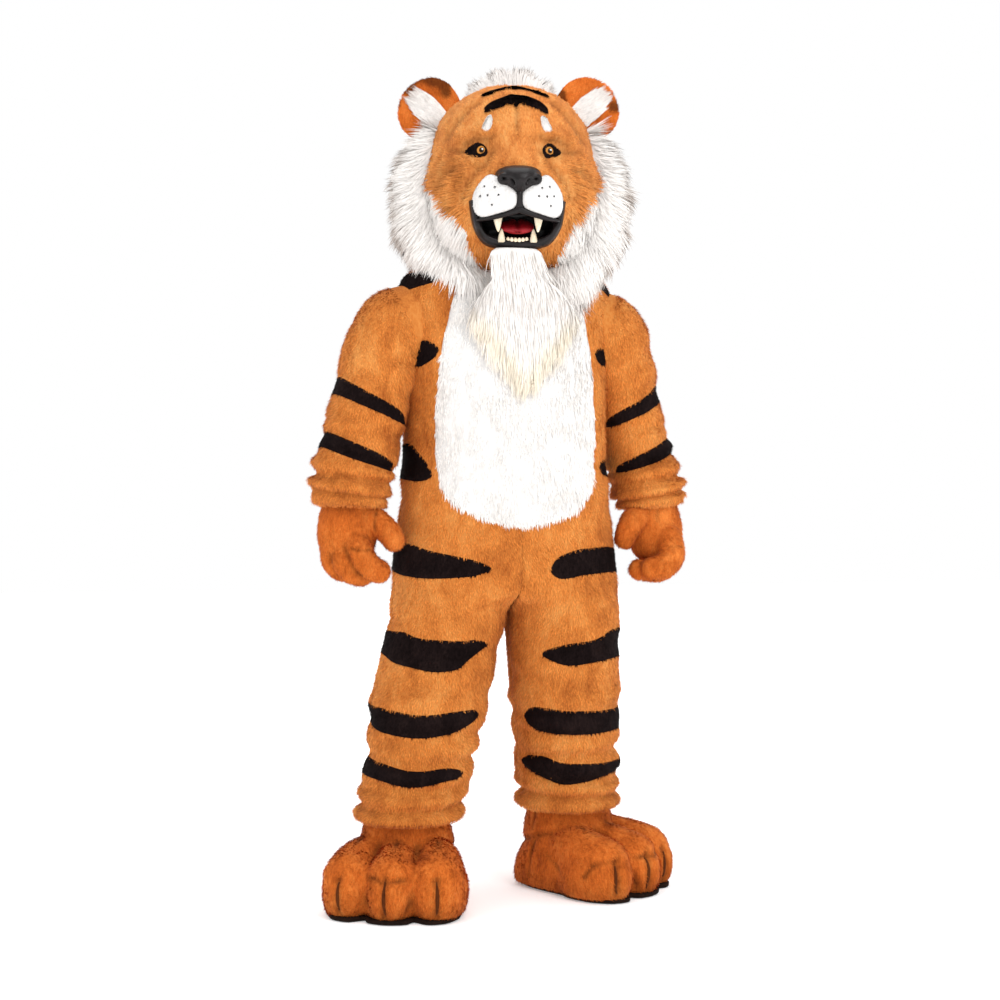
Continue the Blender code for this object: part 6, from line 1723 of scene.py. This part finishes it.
tongue_shade = (0.45 + 0.65 * smooth(1.563, 1.530, h[:, 2])) * (1 - 0.55 * np.exp(-(h[:, 0] / 0.0045)**2) * smooth(1.530, 1.556, h[:, 2]))
tongue = build("v_tongue", p, f, RED, tint=tongue_shade, node="tongue")


def tooth(x, y, z, radius, height, up, bend=0.0):
    table = Table("share size", (0, 0.80), (0.10, 1.0), (0.30, 0.92), (0.5, 0.76), (0.7, 0.56), (0.85, 0.38), (0.95, 0.22), (1, 0.08))
    rings = []
    turn = TAU * np.arange(28) / 28
    for share in np.linspace(0, 1, 22):
        r = radius * table("size", share)
        rings.append(on_head(np.stack([x + r * np.cos(turn) + bend * share**2, y + 0.85 * r * np.sin(turn), np.full(28, z + up * height * share)], axis=1)))
    return tube(rings)


for side in (RIGHT, LEFT):
    word = WORD[side]
    # painted shade: each fang is darker towards its root at the gum
    p, f = tooth(side * 0.0460, -0.2140, 1.5760, 0.0112, 0.0450, -1, bend=-side * 0.0015)
    build("v_fang_upper_" + word, p, f, CREAM, tint=0.80 + 0.20 * smooth(1.575, 1.545, from_head(p)[:, 2]), node="fang_upper_" + word)
    p, f = tooth(side * 0.0365, -0.1960, 1.5100, 0.0084, 0.0310, 1, bend=-side * 0.0010)
    build("v_fang_lower_" + word, p, f, CREAM, tint=0.80 + 0.20 * smooth(1.515, 1.530, from_head(p)[:, 2]), node="fang_lower_" + word)
pts, faces, first = [], [], 0
for k, x in enumerate((-0.0200, -0.0120, -0.0040, 0.0040, 0.0120, 0.0200)):
    high = (0.0062, 0.0050, 0.0046, 0.0046, 0.0050, 0.0062)[k]
    q, g = ball(on_head((x * 1.06, -0.1930 + 4.0 * x * x, 1.5150)), (0.0046, 0.0040, high + 0.0025), (16, 12))
    pts.append(q)
    faces.append(g + first)
    first += len(q)
build("v_incisors", np.concatenate(pts), np.concatenate(faces), CREAM, node="incisors")

# eyes: an amber ball with a dark pupil and a painted highlight
for side in (RIGHT, LEFT):
    word = WORD[side]
    p, f = ball((0, 0, 0), (1, 1, 1), (48, 32))
    look = unit(np.array([side * 0.26, -1.0, 0.03]))
    angle = np.degrees(np.arccos(np.clip(unit(p) @ look, -1, 1)))
    iris = np.array([0.62, 0.25, 0.045])
    rings_ = 1 - 0.22 * (0.5 + 0.5 * np.sin(np.arctan2(p[:, 2], p[:, 0]) * 22)) * (angle < 60)
    colour = iris[None] * rings_[:, None]
    colour = colour * (1 - smooth(31, 27, angle) * 0.985)[:, None]
    colour = colour * (1 - smooth(52, 60, angle) * 0.93)[:, None]
    # painted highlight: a white spot on the ball above and beside the pupil
    glint = np.degrees(np.arccos(np.clip(unit(p) @ unit(look + np.array([0.16, 0, 0.20])), -1, 1)))
    colour = colour + 0.85 * smooth(11, 7, glint)[:, None]
    place = face_point(side * (0.0835 if side == RIGHT else 0.0750), 1.7225, 0.0)
    eye = build("v_eye_" + word, on_head(place + np.array([0, 0.0030, 0.0])) + p * np.array([0.0126, 0.0100, 0.0126]), f, EYE, tint=colour, node="eye_" + word)
note("face")

# ------------------------------------------------------------------ ears
EAR = Table("along wide thick cup", (0, 0.052, 0.012, 0.014), (0.25, 0.066, 0.013, 0.018), (0.5, 0.070, 0.013, 0.020), (0.75, 0.060, 0.012, 0.016),
            (0.92, 0.038, 0.010, 0.008), (1, 0.014, 0.006, 0.002))
EAR_LONG = 0.122


def ear_shape(side, c, along, lift=0.0):
    c, along = np.broadcast_arrays(np.asarray(c, float), np.asarray(along, float))
    turn = TAU * c
    wide = EAR("wide", along) * 1.10 * np.cos(turn)
    thick = (EAR("thick", along) + lift) * np.sin(turn) * (1 - 0.3 * np.abs(np.cos(turn)))
    cup = EAR("cup", along) * (1 - np.cos(turn)**2)
    lean = math.radians(47)
    out = (0.153 if side == RIGHT else 0.141) + along * EAR_LONG * math.sin(lean) - wide * math.cos(lean)
    up = (1.812 if side == RIGHT else 1.820) + along * EAR_LONG * math.cos(lean) + wide * math.sin(lean)
    return np.stack([side * out, 0.020 + thick + cup - 0.030 * along, up], axis=-1)


for side in (RIGHT, LEFT):
    word = WORD[side]
    c = np.arange(56) / 56
    a = np.linspace(0, 1, 40)
    C, A = np.meshgrid(c, a)
    grid = ear_shape(side, C, A)
    grid = grid + unit(grid - grid.mean(axis=1, keepdims=True)) * (0.0010 * noise(grid, 0.025, 81))[..., None]
    rim_ = np.abs(np.cos(TAU * C))
    p, f = tube(on_head(grid))
    n = np.zeros_like(p)
    tri = np.cross(p[f[:, 1]] - p[f[:, 0]], p[f[:, 2]] - p[f[:, 0]])
    for k in range(3):
        np.add.at(n, f[:, k], tri)
    n = unit(n)
    h = from_head(p)
    dark = smooth(0.10, 0.55, noise(h * np.array([1, 0.6, 1]), 0.030, 88 + side))
    blot = (1 - 0.72 * dark)[:, None] * np.ones((1, 3))
    # painted shade: the skin under the pile is darker (0.8); the blots are the ear's own colour
    ear = build("v_ear_" + word, p, f, RUST, tint=blot * 0.8, node="ear_" + word)
    c_known = np.concatenate([C.reshape(-1), [0, 0]])
    a_known = np.concatenate([A.reshape(-1), [0, 1]])
    surface = Surface(p, n, f, h=h, c=c_known, a=a_known, blot=blot)
    along_ear = turned((side * math.sin(math.radians(47)), -0.25, math.cos(math.radians(47))))
    coat = pile("pile_ear_" + word, surface, 9000, RUST, "plush_rust", 0.0070, wide=0.0019, lean=66, way=along_ear, seed=240 + side, spread=0.35,
                mask=lambda q: q["a"][:, 0] > 0.02, tint=lambda q: q["blot"], root=0.8, tip=1.15)
    # the lining: white fur sewn into the hollow of the ear
    c = np.linspace(8.25, 9.75, 13) / 12
    a = np.linspace(0.04, 0.80, 20)
    C, A = np.meshgrid(c, a)
    pinch = smooth(1.0, 0.55, A)
    C = 0.75 + (C - 0.75) * (0.55 + 0.45 * pinch)
    grid = ear_shape(side, C, A)
    grid = grid + np.array([0, -0.0022, 0])
    away = grid_normals(grid)
    if away[..., 1].mean() > 0:
        away = -away
    if np.cross(grid[5, 6] - grid[5, 5], grid[6, 5] - grid[5, 5]) @ away[5, 5] < 0:
        grid, away = grid[:, ::-1], away[:, ::-1]
        C, A = C[:, ::-1], A[:, ::-1]
    world, world_away = on_head(grid), turned(away)
    lining = shell("v_ear_lining_" + word, world, world_away, 0.0018, FUR, node="ear_lining_" + word)
    surface = Surface(world, world_away, grid_faces(20, 13), h=grid, a=A)
    outwards = turned((side * 0.80, -0.30, 0.52))
    coat = pile("pile_ear_lining_" + word, surface, 2600, FUR, "plush_white",
                lambda q: 0.015 + 0.010 * smooth(0.3, 0.8, q["a"][:, 0]), wide=0.0030, lean=70, way=outwards, seed=250 + side,
                segments=2, droop=0.4, spread=0.28, clump=0.3, clump_size=0.018, root=0.94, tip=1.0, soft=0.65,
                tint=lambda q: 1 - 0.35 * smooth(0.62, 0.95, q["a"]) * np.array([0.75, 0.95, 1.0]))
    area = float(surface.area.sum())
note("ears")

# ------------------------------------------------------------------ ruff, crest and beard
RUFF = Table("along x z reach deep y", (0, 0.165, 1.790, 0.026, 0.040, 0), (0.15, 0.196, 1.740, 0.050, 0.062, -0.004), (0.32, 0.214, 1.665, 0.068, 0.076, -0.010),
             (0.50, 0.205, 1.580, 0.078, 0.084, -0.018), (0.68, 0.165, 1.495, 0.074, 0.086, -0.040), (0.85, 0.105, 1.440, 0.062, 0.074, -0.070),
             (1, 0.036, 1.410, 0.054, 0.058, -0.090))


def ruff_grid(side, c, along, share):
    """Rings round the ruff's run, at a share of its full reach."""
    h = 1e-3
    x, z = RUFF("x", along), RUFF("z", along)
    rx, rz = RUFF("x", along + h) - RUFF("x", along - h), RUFF("z", along + h) - RUFF("z", along - h)
    size = np.hypot(rx, rz)
    rx, rz = rx / size, rz / size
    turn = TAU * c
    off = RUFF("reach", along) * np.cos(turn) * share
    return np.stack([side * (x - rz * off), RUFF("y", along) + RUFF("deep", along) * np.sin(turn) * share, z + rx * off], axis=-1), np.stack([side * -rz, 0 * x, rx], axis=-1)


for side in (RIGHT, LEFT):
    word = WORD[side]
    c = np.arange(40) / 40
    a = np.linspace(0.002, 0.998, 44)
    C, A = np.meshgrid(c, a)
    grid, out = ruff_grid(side, C, A, 0.66)
    grid = grid + out * (0.004 * noise(grid, 0.05, 91))[..., None]
    p, f = tube(on_head(grid))
    n = np.zeros_like(p)
    tri = np.cross(p[f[:, 1]] - p[f[:, 0]], p[f[:, 2]] - p[f[:, 0]])
    for k in range(3):
        np.add.at(n, f[:, k], tri)
    n = unit(n)
    ruff = build("v_ruff_" + word, p, f, FUR, tint=np.full(len(p), 0.86), node="ruff_" + word)
    ends = [[0], [1]]
    outer = np.concatenate([np.cos(TAU * C).reshape(-1), [0, 0]])
    along = np.concatenate([A.reshape(-1), [0, 1]])
    way_out = np.concatenate([out.reshape(-1, 3), out[0, :1], out[-1, :1]])
    surface = Surface(p, n, f, h=from_head(p), outer=outer, along=along, out=way_out)

    def ruff_way(q, side=side):
        out = q["out"] * smooth(-0.6, 0.6, q["outer"]) + 0.10 * np.array([side, 0, 0])
        fall = np.array([0, -0.10, -0.95])
        low = smooth(0.35, 0.9, q["along"])
        return turned(unit(out * (1.0 - 0.35 * low) + fall * (0.55 + 0.65 * low)))

    def ruff_tint(q):
        edge = smooth(0.30, 0.95, q["outer"]) * smooth(1.10, 0.72, q["along"]) * smooth(0.02, 0.22, q["along"])
        streak = smooth(-0.15, 0.45, noise(q["h"] * np.array([0.5, 0.5, 1.6]), 0.020, 97))[:, None]
        soft_ = 1 - 0.10 * smooth(0.0, 0.5, noise(q["h"], 0.045, 98))[:, None]
        return soft_ * (1 - edge * (0.20 + 0.52 * streak) * np.array([0.84, 0.94, 1.0]))

    def ruff_mask(q):
        return q["h"][:, 1] < 0.075

    coat = pile("pile_ruff_" + word, surface, 18500, FUR, "fur_white", lambda q: 0.042 + 0.010 * smooth(0.0, 0.9, q["outer"][:, 0]) + 0.030 * smooth(0.64, 0.86, q["along"][:, 0]) + 0.006 * noise(q["p"], 0.06, 93),
                wide=0.0036, lean=lambda q: 68 - 8 * smooth(0.2, 1.0, q["outer"][:, 0]), way=ruff_way, seed=260 + side, segments=2, droop=0.5, spread=0.40,
                clump=0.32, clump_size=0.024, root=0.96, tip=1.02, soft=0.80, tint=ruff_tint, weight=0.30 + smooth(-0.9, 0.3, outer))
note("ruff")

p, f = join_round([ball(on_head((x, 0.035, z)), (r, 0.032, h)) for x, z, r, h in ((-0.052, 1.868, 0.036, 0.048), (-0.018, 1.878, 0.040, 0.056), (0.022, 1.878, 0.040, 0.056), (0.056, 1.870, 0.034, 0.046))],
                  0.0040, 4)
crest = build("v_crest", p, f, FUR, tint=np.full(len(p), 0.84), node="crest")
n = vertex_normals(p, f)
surface = Surface(p, n, f, h=from_head(p))
pile("pile_crest", surface, 7500, FUR, "fur_white", 0.032, wide=0.0036, lean=46,
     way=lambda q: turned(unit(np.stack([q["h"][:, 0] * 9, q["h"][:, 0] * 0 - 0.05, 0.75 + 0 * q["h"][:, 0]], axis=1))), seed=270, segments=2, droop=0.30, spread=0.40,
     clump=0.30, clump_size=0.018, root=0.95, tip=0.95, soft=0.80, mask=lambda q: q["h"][:, 2] > 1.862,
     tint=lambda q: 1 - 0.16 * smooth(1.885, 1.930, q["h"][:, 2:3]) * np.array([0.8, 0.95, 1.0]))

BEARD = Table("z wide deep y", (1.485, 0.034, 0.020, -0.208), (1.440, 0.060, 0.028, -0.200), (1.400, 0.105, 0.034, -0.186), (1.355, 0.140, 0.034, -0.168),
              (1.300, 0.118, 0.026, -0.166), (1.240, 0.070, 0.020, -0.168), (1.180, 0.016, 0.010, -0.166))
rings = []
chin = on_head((0.0, -0.196, 1.496))
for z in np.linspace(1.497, 1.200, 42):
    turn = TAU * np.arange(48) / 48
    up = smooth(1.350, 1.480, z)
    wide, deep_ = np.maximum(BEARD("wide", z) * 0.88, 0.062 * smooth(1.34, 1.40, z)), BEARD("deep", z) * 0.75
    wide = wide * (1 - 0.25 * smooth(1.486, 1.497, z))
    rings.append(np.stack([0.004 + (chin[0] - 0.004) * up + wide * np.cos(turn), BEARD("y", z) * (1 - up) + (chin[1] + 0.4 * deep_) * up + deep_ * np.sin(turn),
                           np.full(48, z + FLOOR)], axis=1))
rings = np.array(rings)
rings = rings + unit(rings - rings.mean(axis=1, keepdims=True)) * (0.003 * noise(rings, 0.04, 95))[..., None]
p, f = tube(rings)
n = np.zeros_like(p)
tri = np.cross(p[f[:, 1]] - p[f[:, 0]], p[f[:, 2]] - p[f[:, 0]])
for k in range(3):
    np.add.at(n, f[:, k], tri)
n = unit(n)
beard = build("v_beard", p, f, FUR, tint=np.full(len(p), 0.95), node="beard")
surface = Surface(p, n, f)


# painted shadow: a soft, warm darkening along the beard's sides below 1.40 m
def beard_shadow_tint(q):
    x, z = q["p"][:, 0] - 0.006, q["p"][:, 2] - FLOOR
    edge = np.exp(-((np.abs(x) - (z - 1.20) * 0.72) / 0.030)**2) * smooth(1.40, 1.33, z)
    return 1 - edge[:, None] * np.array([0.04, 0.10, 0.24])


pile("pile_beard", surface, 15000, FUR, "fur_white", lambda q: 0.044 + 0.012 * noise(q["p"], 0.05, 96), wide=0.0040, lean=76,
     way=lambda q: unit(np.stack([(q["p"][:, 0] - 0.006) * 1.2 * smooth(1.45, 1.38, q["p"][:, 2] - FLOOR), -0.05 + 0 * q["p"][:, 0], -1.0 + 0 * q["p"][:, 0]], axis=1)), seed=280, segments=2, droop=0.35,
     spread=0.28, clump=0.25, clump_size=0.024, root=0.97, tip=1.02, soft=0.84, tint=beard_shadow_tint, mask=lambda q: (q["n"][:, 1] < 0.35) & (q["n"][:, 2] < 0.5))
note("ruff, crest and beard")


# ------------------------------------------------------------------ ending
total = 0
for obj in COSTUME.objects:
    if obj.type == "MESH":
        count = len(obj.data.loops) - 2 * len(obj.data.polygons)
        total += count
        if count > 60000:
            note("%s %d" % (obj.name, count))
note("triangles %d" % total)
